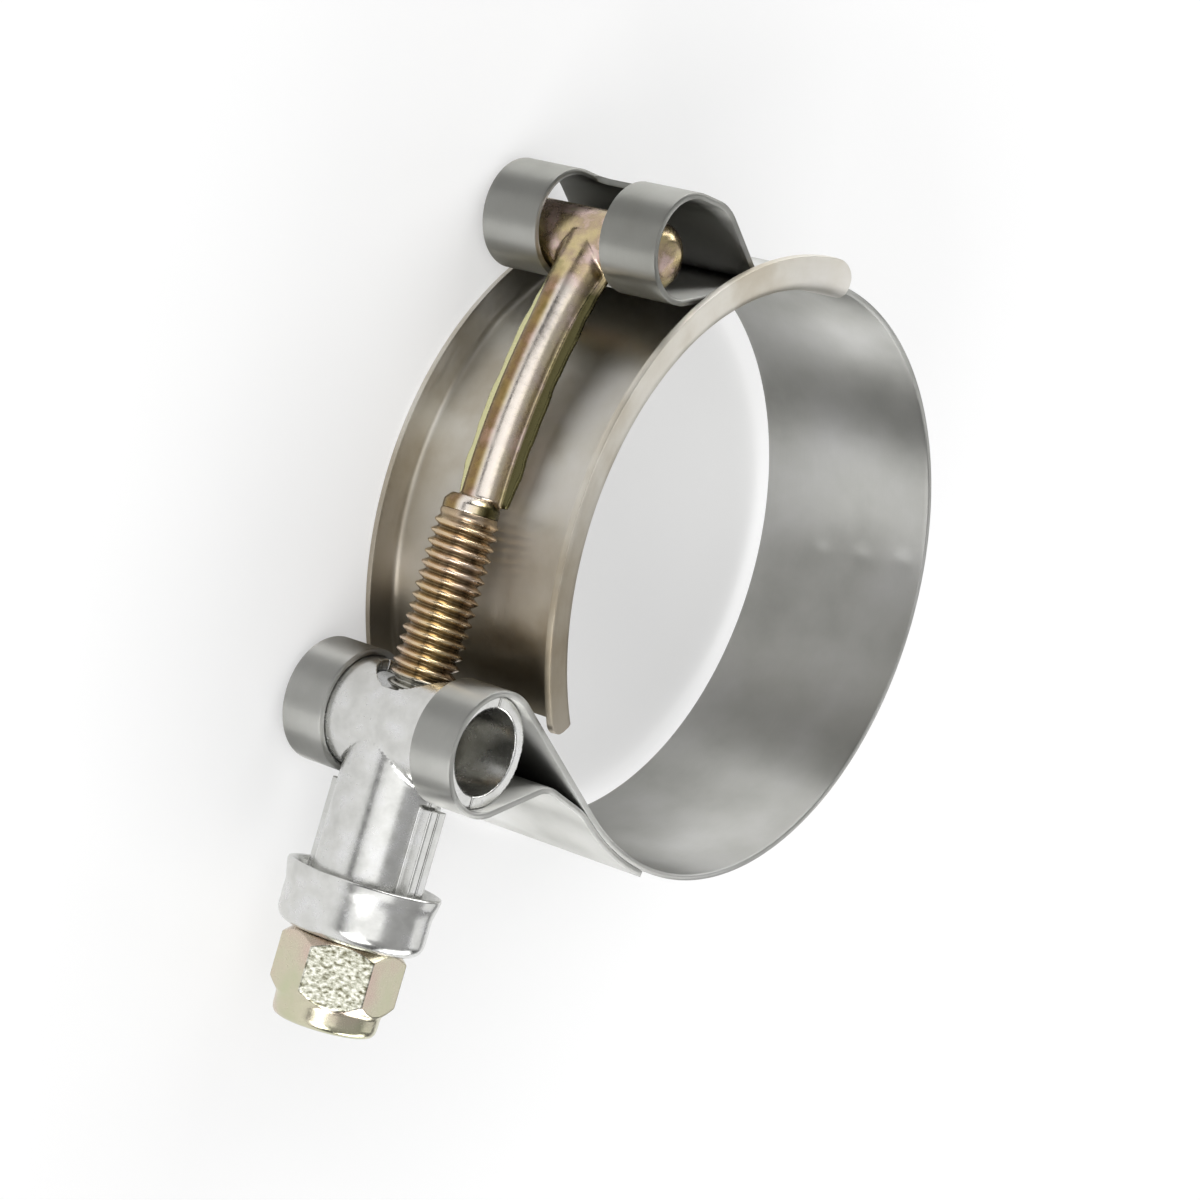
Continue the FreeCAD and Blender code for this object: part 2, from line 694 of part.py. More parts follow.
def on_thread(body):
    """Moves a body from the Y axis to the thread's axis."""
    body.setExpression("Placement.Base.x", f"-{BOLT_OFFSET}")
    return body


def draw_oval(body, name, depth, half_deep, half_wide):
    """An ellipse on the bolt's axis, at a depth down the thread and wider along Z."""
    sketch = new_sketch(body, name, "XZ_Plane", depth)
    wide = FreeCAD.Vector(0, half_wide, 0)
    deep = FreeCAD.Vector(half_deep, 0, 0)
    sketch.addGeometry(Part.Ellipse(wide, deep, FreeCAD.Vector(0, 0, 0)))
    return sketch


def loft(body, kind, name, sketches):
    """A straight-sided loft through sketches, added to the body or cut from it."""
    feature = body.newObject(f"PartDesign::{kind}", name)
    feature.Profile = sketches[0]
    feature.Sections = sketches[1:]
    feature.Ruled = True
    doc.recompute()
    return feature


def make_cup():
    """A pressed cup, oval because it holds the stem with its two wings, with a flared rim."""
    body = doc.addObject("PartDesign::Body", "end_cup")
    rim = f"{CUP_END} - Sizes.cup_height"
    throat = f"{rim} + Sizes.cup_lip_height"
    deep = stem_radius + size("cup_room")
    wide = size("wing_reach") + size("cup_room")
    wall = size("cup_sheet")
    flare = size("cup_lip")
    rim_out = draw_oval(body, "rim_outside", rim, deep + wall + flare / 2, wide + wall + flare)
    throat_out = draw_oval(body, "throat_outside", throat, deep + wall, wide + wall)
    loft(body, "AdditiveLoft", "flare", [rim_out, throat_out])
    side = draw_oval(body, "wall_outside", throat, deep + wall, wide + wall)
    pad(body, side, "Sizes.cup_height - Sizes.cup_lip_height")

    def at_bottom(edge):
        return edge.BoundBox.YLength < 1e-3 and edge_y(edge) < cup_end + 1e-3
    dress(body, "Fillet", at_bottom, "Sizes.cup_round")
    rim_in = draw_oval(body, "rim_inside", rim, deep + flare / 2, wide + flare)
    throat_in = draw_oval(body, "throat_inside", throat, deep, wide)
    loft(body, "SubtractiveLoft", "flare_inside", [rim_in, throat_in])
    inside = draw_oval(body, "wall_inside", throat, deep, wide)
    room = body.newObject("PartDesign::Pocket", "cup_room_pocket")
    room.Profile = inside
    room.Reversed = True
    room.setExpression("Length", "Sizes.cup_height - Sizes.cup_lip_height - Sizes.cup_sheet")
    doc.recompute()
    hole = new_sketch(body, "thread_hole", "XZ_Plane", rim)
    draw_circle(hole, "Sizes.thread_diameter / 2 + Sizes.cup_hole_room")
    pocket_through(body, hole)
    return on_thread(body)


def make_nut():
    """A hexagon with a round crown that is crimped over the insert."""
    body = doc.addObject("PartDesign::Body", "lock_nut")
    start = f"({CUP_END} + Sizes.nut_room)"
    section = new_sketch(body, "nut_section", "XY_Plane")
    corner = "Sizes.nut_flats / 2 / cos(30)"
    washer = "Sizes.nut_flats / 2 - Sizes.nut_washer_step"
    slope = f"({corner} - {washer}) * tan(30)"
    hex_end = f"({start} + Sizes.nut_hex_height)"
    end = f"({start} + Sizes.nut_height)"
    mouth = f"{NUT_BORE} + Sizes.insert_lap"
    cover = f"-{end} + Sizes.insert_cover"
    draw_polygon(section, [
        (NUT_BORE, f"-{start}"), (washer, f"-{start}"), (corner, f"-{start} - {slope}"),
        (corner, f"-{hex_end} + {slope}"), ("Sizes.nut_crown_radius", f"-{hex_end} - Sizes.nut_crown_root"),
        ("Sizes.nut_crown_radius", f"-{end} + Sizes.nut_crimp"),
        ("Sizes.nut_crown_radius - Sizes.nut_crimp", f"-{end}"), (mouth, f"-{end}"),
        (mouth, cover), ("Sizes.insert_radius", cover),
        ("Sizes.insert_radius", f"{cover} + Sizes.insert_height"),
        (NUT_BORE, f"{cover} + Sizes.insert_height")])
    revolve(body, section)
    hexagon = new_sketch(body, "nut_flats", "XZ_Plane")
    reach = size("nut_flats")
    corner_reach = reach / 2 / math.cos(math.pi / 6)
    flats = [moved(0, 0, 30 + size("nut_turned") + 60 * i, corner_reach) for i in range(6)]
    ring = [moved(0, 0, 60 * i, 2 * reach) for i in range(6)]
    free_polygon(hexagon, flats)
    count = len(flats)
    for i in range(count):
        hexagon.addGeometry(Part.LineSegment(vector(ring[i]), vector(ring[(i + 1) % count])))
    for i in range(count):
        hexagon.addConstraint(Sketcher.Constraint("Coincident", count + i, 2, count + (i + 1) % count, 1))
    pocket_through(body, hexagon)
    return on_thread(body)


def make_insert():
    body = doc.addObject("PartDesign::Body", "nylon_insert")
    end = f"({CUP_END} + Sizes.nut_room + Sizes.nut_height)"
    low = f"-{end} + Sizes.insert_cover + Sizes.insert_room"
    high = f"-{end} + Sizes.insert_cover + Sizes.insert_height - Sizes.insert_room"
    outside = "Sizes.insert_radius - Sizes.insert_room"
    section = new_sketch(body, "insert_section", "XY_Plane")
    draw_polygon(section, [(NUT_BORE, low), (outside, low), (outside, high), (NUT_BORE, high)])
    revolve(body, section)
    return on_thread(body)


# Build, check and write

band = make_band()
bridge = make_bridge()
t_bolt = make_t_bolt()
outer_shell, inner_shell = make_shells()
end_cup = make_cup()
lock_nut = make_nut()
nylon_insert = make_insert()
pieces = [band, bridge, t_bolt, outer_shell, inner_shell, end_cup, lock_nut, nylon_insert]
doc.recompute()

for item in doc.Objects:
    if "Invalid" in item.State or "Error" in item.State:
        raise RuntimeError(f"{item.Name} failed: {item.State}")
for piece in pieces:
    piece.Label = piece.Name
    if piece.Shape.isNull() or not piece.Shape.isValid():
        raise RuntimeError(f"{piece.Label} has no valid shape")

os.makedirs("parts", exist_ok=True)
for piece in pieces:
    piece.Shape.exportStep(f"parts/{piece.Label}.step")
    box = piece.Shape.BoundBox
    print(f"{piece.Label}: {len(piece.Shape.Solids)} solid, {piece.Shape.Volume:.1f} mm3, "
          f"x {box.XMin:.2f} {box.XMax:.2f}, y {box.YMin:.2f} {box.YMax:.2f}, "
          f"z {box.ZMin:.2f} {box.ZMax:.2f}")
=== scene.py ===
import json
import math
import bmesh
import bpy
import numpy as np
from mathutils import Matrix, Vector


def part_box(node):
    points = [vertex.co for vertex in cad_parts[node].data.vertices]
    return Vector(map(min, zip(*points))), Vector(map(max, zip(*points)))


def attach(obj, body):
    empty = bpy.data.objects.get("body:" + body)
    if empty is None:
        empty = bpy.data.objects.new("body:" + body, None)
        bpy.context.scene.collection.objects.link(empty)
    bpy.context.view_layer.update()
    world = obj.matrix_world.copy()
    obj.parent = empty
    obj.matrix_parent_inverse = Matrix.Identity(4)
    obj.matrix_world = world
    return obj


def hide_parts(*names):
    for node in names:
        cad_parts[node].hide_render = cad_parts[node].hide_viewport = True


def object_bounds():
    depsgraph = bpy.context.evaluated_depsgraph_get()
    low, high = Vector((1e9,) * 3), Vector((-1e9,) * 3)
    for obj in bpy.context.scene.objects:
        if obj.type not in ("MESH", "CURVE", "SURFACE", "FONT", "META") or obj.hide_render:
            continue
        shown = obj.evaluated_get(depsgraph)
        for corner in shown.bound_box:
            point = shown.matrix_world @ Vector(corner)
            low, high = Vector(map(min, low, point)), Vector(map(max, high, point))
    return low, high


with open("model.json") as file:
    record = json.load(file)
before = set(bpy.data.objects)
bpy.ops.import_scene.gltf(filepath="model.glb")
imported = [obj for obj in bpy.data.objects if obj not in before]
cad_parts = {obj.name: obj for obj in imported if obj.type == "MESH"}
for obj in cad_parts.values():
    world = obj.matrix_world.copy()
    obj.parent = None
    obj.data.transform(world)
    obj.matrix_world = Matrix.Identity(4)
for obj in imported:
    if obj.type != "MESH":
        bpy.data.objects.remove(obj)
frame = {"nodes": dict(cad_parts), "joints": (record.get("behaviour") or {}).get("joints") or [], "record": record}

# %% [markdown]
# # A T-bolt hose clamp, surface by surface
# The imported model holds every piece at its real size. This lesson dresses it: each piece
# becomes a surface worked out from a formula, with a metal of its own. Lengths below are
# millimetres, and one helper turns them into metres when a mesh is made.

MM = 0.001
cad_low, cad_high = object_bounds()
joints = {joint["name"]: joint for joint in frame["joints"]}
pivot = np.array(joints["trunnion_swivel"]["pos_m"][:2]) / MM
head = np.array(joints["bolt_swing"]["pos_m"][:2]) / MM
bore_radius = frame["record"]["mounts"][0]["dims"]["r_mm"]
print("pivot", pivot, "head", head, "bore", bore_radius)

# %% [markdown]
# ## From arrays to meshes
# Every surface here is a grid of points, rows by columns. The faces of a grid are the same
# for all of them: each cell joins a point to its right and lower neighbours. A closed
# direction joins the last line back to the first.

# %% Grid helpers


def grid_faces(rows, columns, close_rows=False, close_columns=False):
    """Quads of a rows x columns grid as point numbers: (i, j), (i, j+1), (i+1, j+1), (i+1, j)."""
    i = np.arange(rows if close_rows else rows - 1)[:, None]
    j = np.arange(columns if close_columns else columns - 1)[None, :]
    below, right = (i + 1) % rows, (j + 1) % columns
    corners = [i * columns + j, i * columns + right, below * columns + right, below * columns + j]
    return np.stack([np.broadcast_to(c, (i.size, j.size)) for c in corners], axis=-1).reshape(-1, 4)


def add_object(name, data):
    """An object for a mesh, a lamp or a camera, linked to the scene."""
    item = bpy.data.objects.new(name, data)
    bpy.context.scene.collection.objects.link(item)
    return item


def weld(mesh, face_outward=True):
    """Joins points that coincide, and turns every face outward unless told not to."""
    bm = bmesh.new()
    bm.from_mesh(mesh)
    bmesh.ops.remove_doubles(bm, verts=bm.verts, dist=1e-7)
    if face_outward:
        bmesh.ops.recalc_face_normals(bm, faces=bm.faces)
    bm.to_mesh(mesh)
    bm.free()


def make_piece(name, parts, body, material, nodes=(), uv=None):
    """One object from (points, faces) pairs in millimetres, riding on a body of the model."""
    points, faces, start = [], [], 0
    for part_points, part_faces in parts:
        points.append(part_points.reshape(-1, 3))
        faces.append(part_faces + start)
        start += len(points[-1])
    points, faces = np.concatenate(points) * MM, np.concatenate(faces)
    used = np.unique(faces)
    renumber = np.zeros(len(points), int)
    renumber[used] = np.arange(len(used))
    faces = renumber[faces]
    mesh = bpy.data.meshes.new(name)
    mesh.from_pydata(points[used].tolist(), [], faces.tolist())
    if uv is not None:
        layer = mesh.uv_layers.new(name="along_and_across")
        layer.data.foreach_set("uv", uv.reshape(-1, 2)[used][faces.ravel()].ravel())
    weld(mesh)
    mesh.polygons.foreach_set("use_smooth", [True] * len(mesh.polygons))
    mesh.materials.append(material)
    piece = add_object(name, mesh)
    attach(piece, body)
    if nodes:
        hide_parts(*nodes)
    print(name, len(mesh.vertices), "points")
    return piece


def thicken(piece, thickness, edge=0.1):
    """Gives a sheet its thickness, equally to both sides, and rounds its cut edges."""
    solid = piece.modifiers.new("sheet", "SOLIDIFY")
    solid.thickness, solid.offset = thickness * MM, 0
    bevel = piece.modifiers.new("edges", "BEVEL")
    bevel.width, bevel.segments = edge * MM, 2
    bevel.limit_method, bevel.angle_limit = "ANGLE", math.radians(50)
    piece.modifiers.new("shading", "WEIGHTED_NORMAL").keep_sharp = False


# %% [markdown]
# ## A bent strip's middle line
# Sheet metal is straight runs and round bends, so its section is a walk: go forward, turn,
# go forward. The walk gives points and the direction to its left, and because the bends
# are true arcs the strip has the same form as the model's.

# %% The walk


def walk(start, heading, steps, spacing=0.1):
    """Points, left-hand normals and lengths along straight runs and tangent bends.

    A step (amount, 0) runs straight for that length. A step (radius, turn) goes round the
    centre that lies radius to the left, or to the right for a negative turn:
    point = centre - side * radius * left(heading), as the heading changes by the turn.
    """
    points, normals, lengths, marks = [], [], [], [0.0]
    place = np.array(start, float)
    for amount, turn in steps:
        length = amount * (abs(math.radians(turn)) if turn else 1)
        u = np.linspace(0, 1, max(2, int(length / spacing)) + 1)
        angle = np.radians(heading + turn * u)
        left = np.stack([-np.sin(angle), np.cos(angle)], 1)
        if turn:
            side = math.copysign(1, turn)
            centre = place + side * amount * left[0]
            line = centre - side * amount * left
        else:
            line = place + np.outer(u * length, [math.cos(angle[0]), math.sin(angle[0])])
        points.append(line)
        normals.append(left)
        lengths.append(marks[-1] + u * length)
        marks.append(marks[-1] + length)
        place, heading = line[-1], heading + turn
    return np.concatenate(points), np.concatenate(normals), np.concatenate(lengths), marks


def polar(angle, reach, centre=(0, 0)):
    """A point at an angle in degrees and a distance from a centre."""
    return np.array(centre) + reach * np.array([math.cos(math.radians(angle)), math.sin(math.radians(angle))])


# %% [markdown]
# ## Metals
# Plain zinc or steel isn't one colour: rolling leaves fine lines along the sheet, and the
# yellow passivation is a film whose colour wanders from olive to gold to pink. Each metal
# below mixes its colours by noise, and roughens and bumps the surface with a finer noise.

# %% Metal materials


def add_node(tree, kind, **inputs):
    """A shader node with some of its inputs set."""
    node = tree.nodes.new(kind)
    for name, value in inputs.items():
        node.inputs[name.replace("_", " ")].default_value = value
    return node


def connect(tree, value, socket):
    """Feeds a socket from an output, or sets it to a plain number or colour."""
    if isinstance(value, (float, tuple)):
        socket.default_value = value
    else:
        tree.links.new(value, socket)


def maths(tree, operation, first, second):
    """One step of arithmetic on two values, each an output or a plain number."""
    node = tree.nodes.new("ShaderNodeMath")
    node.operation = operation
    connect(tree, first, node.inputs[0])
    connect(tree, second, node.inputs[1])
    return node.outputs[0]


def between(tree, value, low, high, least=0.0, most=1.0):
    """least below low, most above high, and a straight rise from one to the other."""
    node = add_node(tree, "ShaderNodeMapRange", From_Min=low, From_Max=high, To_Min=least, To_Max=most)
    tree.links.new(value, node.inputs["Value"])
    return node.outputs[0]


def within(tree, value, start, full, full_end, end):
    """1 from full to full_end, falling to 0 at start and at end."""
    return maths(tree, "MULTIPLY", between(tree, value, start, full), between(tree, value, end, full_end))


def stretched(tree, place, scale=(1, 1, 1), shift=(0, 0, 0)):
    """Coordinates scaled along their axes and then shifted."""
    mapping = add_node(tree, "ShaderNodeMapping", Location=shift, Scale=scale)
    tree.links.new(place, mapping.inputs["Vector"])
    return mapping.outputs["Vector"]


def split(tree, place):
    """The X, Y and Z of a place, each an output of its own."""
    node = tree.nodes.new("ShaderNodeSeparateXYZ")
    tree.links.new(place, node.inputs[0])
    return node.outputs


def distance_along(tree, place, way=None):
    """How far a place is along a direction, or with none given, how far it is from the origin."""
    node = tree.nodes.new("ShaderNodeVectorMath")
    node.operation = "DOT_PRODUCT" if way else "LENGTH"
    tree.links.new(place, node.inputs[0])
    if way:
        node.inputs[1].default_value = way
    return node.outputs["Value"]


def noise(tree, place, stretch, scale, detail=4.0):
    """Noise on stretched coordinates, so that grain can run along a piece."""
    texture = add_node(tree, "ShaderNodeTexNoise", Scale=scale, Detail=detail)
    tree.links.new(stretched(tree, place, stretch), texture.inputs["Vector"])
    return texture.outputs["Fac"]


def ramp(tree, factor, stops):
    """Colours by factor: stops are (place, grey or colour)."""
    node = tree.nodes.new("ShaderNodeValToRGB")
    elements = node.color_ramp.elements
    for place, _ in stops[2:]:
        elements.new(place)
    for element, (place, colour) in zip(sorted(elements, key=lambda e: e.position), stops):
        element.position = place
        rgb = colour if isinstance(colour, tuple) else (colour,) * 3
        element.color = (*rgb, 1)
    tree.links.new(factor, node.inputs["Fac"])
    return node.outputs["Color"]


def mix(tree, factor, first, second, kind="MIX"):
    """Mixes two colours, each an output or a plain red, green and blue."""
    node = tree.nodes.new("ShaderNodeMix")
    node.data_type, node.blend_type = "RGBA", kind
    for value, socket in ((factor, node.inputs[0]), (first, node.inputs[6]), (second, node.inputs[7])):
        connect(tree, (*value, 1.0) if isinstance(value, tuple) else value, socket)
    return node.outputs[2]


GRAIN_DEPTH = 0.00002


def metal(name, colour_stops, patch_scale, rough_stops, grain_stretch, grain_scale, bump, use_uv=False):
    """A metal: patches of colour, roughness that varies, and a fine directional grain as bump.

    Gives the material, its tree, its shader, its colour's output and its places' output.
    """
    material = bpy.data.materials.new(name)
    material.use_nodes = True
    tree = material.node_tree
    shader = tree.nodes["Principled BSDF"]
    shader.inputs["Metallic"].default_value = 1.0
    texture = tree.nodes.new("ShaderNodeTexCoord")
    place = texture.outputs["Object"]
    along = texture.outputs["UV"] if use_uv else place
    patches = noise(tree, place, (1, 1, 1), patch_scale, 5.0)
    grain = noise(tree, along, grain_stretch, grain_scale, 3.0)
    colour = ramp(tree, patches, colour_stops)
    tree.links.new(colour, shader.inputs["Base Color"])
    average = maths(tree, "MULTIPLY", maths(tree, "ADD", grain, patches), 0.5)
    tree.links.new(ramp(tree, average, rough_stops), shader.inputs["Roughness"])
    relief = add_node(tree, "ShaderNodeBump", Strength=bump, Distance=GRAIN_DEPTH)
    tree.links.new(grain, relief.inputs["Height"])
    tree.links.new(relief.outputs["Normal"], shader.inputs["Normal"])
    return material, tree, shader, colour, place


def brush(parts, amount):
    """Rolled lines run along the sheet, so every highlight is stretched across it, which is along Z.

    The direction leans a little off Z, so that it has a meaning on the cut edges too.
    """
    tree, shader = parts[1:3]
    shader.inputs["Anisotropic"].default_value = amount
    across = add_node(tree, "ShaderNodeCombineXYZ", X=0.03, Y=0.05, Z=1.0)
    tree.links.new(across.outputs[0], shader.inputs["Tangent"])
    return parts[0]


EVEN, ROLLED = (1, 1, 1), (0.35, 14, 1)
STRAP_TONES = [(0.3, (0.35, 0.35, 0.33)), (0.5, (0.45, 0.45, 0.43)), (0.75, (0.54, 0.54, 0.53))]
BRIDGE_TONES = [(0.3, (0.56, 0.51, 0.42)), (0.5, (0.71, 0.68, 0.61)), (0.7, (0.80, 0.78, 0.74))]
PIVOT_TONES = [(0.3, (0.59, 0.59, 0.57)), (0.5, (0.67, 0.67, 0.65)), (0.7, 0.73)]
strap_parts = metal("strap_steel", STRAP_TONES, 90, [(0.3, 0.41), (0.7, 0.54)],
                    ROLLED, 1.0, 0.5, use_uv=True)
bridge_parts = metal("bridge_steel", BRIDGE_TONES, 130, [(0.3, 0.30), (0.7, 0.48)],
                     ROLLED, 1.0, 0.5, use_uv=True)
strap_steel, bridge_steel = brush(strap_parts, 0.95), brush(bridge_parts, 0.85)
pivot_steel = metal("pivot_steel", PIVOT_TONES, 520, [(0.3, 0.20), (0.7, 0.30)], EVEN, 2600, 0.25)[0]

# %% [markdown]
# The bolt's film is olive, gold and pink by turns. A pale streak along the shank's crown is a
# painted highlight, and the shank's side towards -Z is painted darker as shade. One flash is
# pale green, and the other is painted dark as shade. The thread's grooves are darker, by the
# distance from the thread's axis. Inside the pivot's tube the film has rubbed off to grey. One
# flat of the nut is scuffed bare by a spanner: its points are the furthest along that flat's
# normal. The bridge is painted darker and browner towards its lower end, and the strap's upper
# loop darker than the rest of it: both are painted shade.
# Places on the metals are in metres: Y runs along the thread and Z along the hose's bore.

# %% Bolt and nut films
OLIVE, GOLD, BROWN = (0.31, 0.27, 0.11), (0.61, 0.50, 0.28), (0.47, 0.36, 0.25)
PINK, PALE_GREEN, PAINTED_HIGHLIGHT = (0.74, 0.56, 0.52), (0.69, 0.67, 0.38), (0.80, 0.73, 0.66)
PAINTED_SHADE_TINT, PAINTED_SHADE_FLASH = (0.50, 0.42, 0.30), (0.10, 0.09, 0.04)
GROOVE_DARK, RUBBED = (0.10, 0.07, 0.03), (0.42, 0.41, 0.37)
FILM = [(0.25, OLIVE), (0.42, GOLD), (0.54, BROWN), (0.66, PINK), (0.85, (0.63, 0.62, 0.38))]
THREAD_TONES = [(0.3, (0.72, 0.58, 0.35)), (0.55, (0.64, 0.49, 0.34)), (0.75, (0.83, 0.69, 0.58))]
NUT_TONES = [(0.3, (0.54, 0.57, 0.37)), (0.5, (0.62, 0.58, 0.44)), (0.7, (0.66, 0.51, 0.44))]
SCRATCH_TONES = [(0.33, (0.13, 0.12, 0.07)), (0.48, (0.47, 0.47, 0.38)), (0.64, (0.80, 0.79, 0.71))]

# Masks: where one starts and where it is full, and for a band, where it stops being full and
# where it ends
SHANK_TOP = (0.0225, 0.0205)
GREEN_FLASH, DARK_FLASH = (-0.0021, -0.0026, -0.0040, -0.0046), (0.0020, 0.0024, 0.0040, 0.0046)
PAINTED_SHADE_SIDE, CROWN = (0.0, 0.0005), (0.0002, 0.0007, 0.0013, 0.0022)
GROOVE, INSIDE_TUBE = (0.00240, 0.00280), (-0.0255, -0.0250, -0.0167, -0.0162)
SCUFFED_WAY, SCUFFED_FROM = (-0.777, 0.0, 0.629), (0.00490, 0.00496)
TO_THREAD = (-pivot[0] * MM, 0, 0)


def paint_shade_along(parts, way, start, full, tint):
    """Painted shade: darkens a metal along a direction, not at all at start and by the whole tint at full."""
    tree, shader, steel, place = parts[1:]
    share = between(tree, distance_along(tree, place, way), start, full)
    darker = mix(tree, 1.0, steel, tint, "MULTIPLY")
    tree.links.new(mix(tree, share, steel, darker), shader.inputs["Base Color"])


# Painted shade: the bridge darker and browner towards its lower end
paint_shade_along(bridge_parts, (0, 1, 0), 0.006, -0.010, (0.52, 0.48, 0.42))
# Painted shade: the strap's upper loop a little darker than the rest
paint_shade_along(strap_parts, (-0.707, 0.707, 0), 0.030, 0.034, (0.68, 0.68, 0.66))

yellow_zinc, tree, shader, film, place = metal("yellow_zinc", FILM, 420, [(0.3, 0.16), (0.7, 0.36)],
                                               EVEN, 1500, 0.6)
_, along, sideways = split(tree, place)
on_shank = between(tree, along, *SHANK_TOP)
green = maths(tree, "MULTIPLY", within(tree, sideways, *GREEN_FLASH), on_shank)
# Painted shade: the flash towards +Z is dark
dark = maths(tree, "MULTIPLY", within(tree, sideways, *DARK_FLASH), on_shank)
# Painted highlight: a pale streak along the shank's crown
crown = maths(tree, "MULTIPLY", within(tree, sideways, *CROWN), on_shank)
# Painted shade: the shank's side towards -Z is darker
painted_shade_film = mix(tree, 1.0, film, PAINTED_SHADE_TINT, "MULTIPLY")
shank_film = mix(tree, between(tree, sideways, *PAINTED_SHADE_SIDE), painted_shade_film, film)
shank_film = mix(tree, crown, shank_film, PAINTED_HIGHLIGHT)
flashes = mix(tree, dark, mix(tree, on_shank, film, shank_film), PAINTED_SHADE_FLASH)
tree.links.new(mix(tree, green, flashes, PALE_GREEN), shader.inputs["Base Color"])

thread_zinc, tree, shader, film, place = metal("thread_zinc", THREAD_TONES, 260, [(0.3, 0.18), (0.7, 0.34)],
                                               EVEN, 700, 0.2)
from_axis = stretched(tree, place, (1, 0, 1), TO_THREAD)
# The thread is darker in its grooves, by the distance from its axis
out_of_groove = between(tree, distance_along(tree, from_axis), *GROOVE)
in_tube = within(tree, split(tree, place)["Y"], *INSIDE_TUBE)
tree.links.new(mix(tree, in_tube, mix(tree, out_of_groove, GROOVE_DARK, film), RUBBED), shader.inputs["Base Color"])

nut_zinc, tree, shader, film, place = metal("nut_zinc", NUT_TONES, 160, [(0.3, 0.18), (0.7, 0.32)],
                                            EVEN, 4200, 0.2)
outward = distance_along(tree, stretched(tree, place, shift=TO_THREAD), SCUFFED_WAY)
on_flat = between(tree, outward, *SCUFFED_FROM)
scratches = ramp(tree, noise(tree, place, (1, 1.6, 1), 2300.0, 6.0), SCRATCH_TONES)
tree.links.new(mix(tree, on_flat, film, scratches), shader.inputs["Base Color"])
relief = shader.inputs["Normal"].links[0].from_node
tree.links.new(between(tree, on_flat, 0.0, 1.0, least=0.2), relief.inputs["Strength"])


def plain(name, colour, roughness):
    """A material with a faint mottle, for what hardly shows."""
    material = bpy.data.materials.new(name)
    material.use_nodes = True
    tree = material.node_tree
    shader = tree.nodes["Principled BSDF"]
    shader.inputs["Roughness"].default_value = roughness
    texture = tree.nodes.new("ShaderNodeTexCoord")
    mottle = noise(tree, texture.outputs["Object"], (1, 1, 1), 300.0)
    stops = [(0.3, tuple(c * 0.9 for c in colour)), (0.7, colour)]
    tree.links.new(ramp(tree, mottle, stops), shader.inputs["Base Color"])
    return material


nylon = plain("nylon", (0.82, 0.82, 0.78), 0.45)

# %% [markdown]
# ## The strap
# The real strap is one strip. Both ends are turned back on the outside into loops and
# spot-welded, and each loop has a slot for the bolt. The walk below follows the model's
# section; a grid of lengths along it and places across it makes the strip, and the cells
# inside the slots are left out.

# %% Strap sizes
STRAP_SHEET, STRAP_HALF = 0.6, (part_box("band")[1].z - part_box("band")[0].z) / 2 / MM
LAP_GAP, BRIDGE_SHEET = 0.05, 0.6
strap_middle = bore_radius + BRIDGE_SHEET + LAP_GAP + STRAP_SHEET / 2
lap_middle = strap_middle + STRAP_SHEET + LAP_GAP
HEAD_LOOP, HEAD_LOOP_ANGLE, HEAD_STANDOFF, HEAD_FLAT = 4.8, 133.0, 7.2, 2.5
TAIL_LOOP, FLANK_FALL, LAP_BEND = 5.5, 34.0, 2.6
HEAD_LAP_END, TAIL_LAP_END = 96.0, 260.5
WAVE_RISE, WAVE_FALL, WAVE_BEND, WAVE_RUN_OUT = 24.0, 16.0, 3.2, 8.0
loop = polar(HEAD_LOOP_ANGLE, strap_middle + STRAP_SHEET / 2 + HEAD_STANDOFF)


def leaves_ring(centre, reach):
    """Turn between the line to a loop's centre and the normal of its leg, and the leg's length."""
    distance = math.hypot(*centre)
    total = strap_middle + reach
    return math.degrees(math.acos(total / distance)), math.sqrt(distance**2 - total**2)


def two_runs(gap, first, second, bends):
    """Lengths of two runs, along two headings, that close a gap with the bends between them."""
    inner = walk((0, 0), first, bends)[0][-1]
    ways = np.stack([polar(first, 1), polar(second, 1)], 1)
    return np.linalg.solve(ways, gap - inner)


# %% Strap path
head_turn, head_leg = leaves_ring(loop, HEAD_LOOP)
tail_turn, tail_leg = leaves_ring(pivot, TAIL_LOOP)
head_leaves = HEAD_LOOP_ANGLE - head_turn
tail_leaves = math.degrees(math.atan2(pivot[1], pivot[0])) % 360 + tail_turn
slope = 180 - FLANK_FALL
hollow = (LAP_BEND, slope - head_leaves - 90)
corner = polar(90 - FLANK_FALL, HEAD_LOOP, loop + [HEAD_FLAT, 0])
lap_run, flank = two_runs(corner - polar(head_leaves, lap_middle), head_leaves + 90, slope, [hollow])
steps = [(lap_middle, head_leaves - HEAD_LAP_END), (lap_run, 0), hollow, (flank, 0), (HEAD_LOOP, FLANK_FALL),
         (HEAD_FLAT, 0), (HEAD_LOOP, head_leaves + 90), (head_leg, 0),
         (strap_middle, tail_leaves - head_leaves - 360), (tail_leg, 0),
         (TAIL_LOOP, WAVE_RISE + 450 - tail_leaves)]
start = polar(HEAD_LAP_END, lap_middle)
loop_end = walk(start, HEAD_LAP_END + 90, steps)[0][-1]
crest, landing = (WAVE_BEND, -WAVE_RISE - WAVE_FALL), (WAVE_RUN_OUT, tail_leaves - 270 + WAVE_FALL)
up, down = two_runs(polar(tail_leaves, lap_middle) - loop_end, WAVE_RISE, -WAVE_FALL, [crest, landing])
steps += [(up, 0), crest, (down, 0), landing, (lap_middle, TAIL_LAP_END - tail_leaves)]
path, path_left, path_length, marks = walk(start, HEAD_LAP_END + 90, steps)
print("strip length", round(marks[-1], 1), "mm")

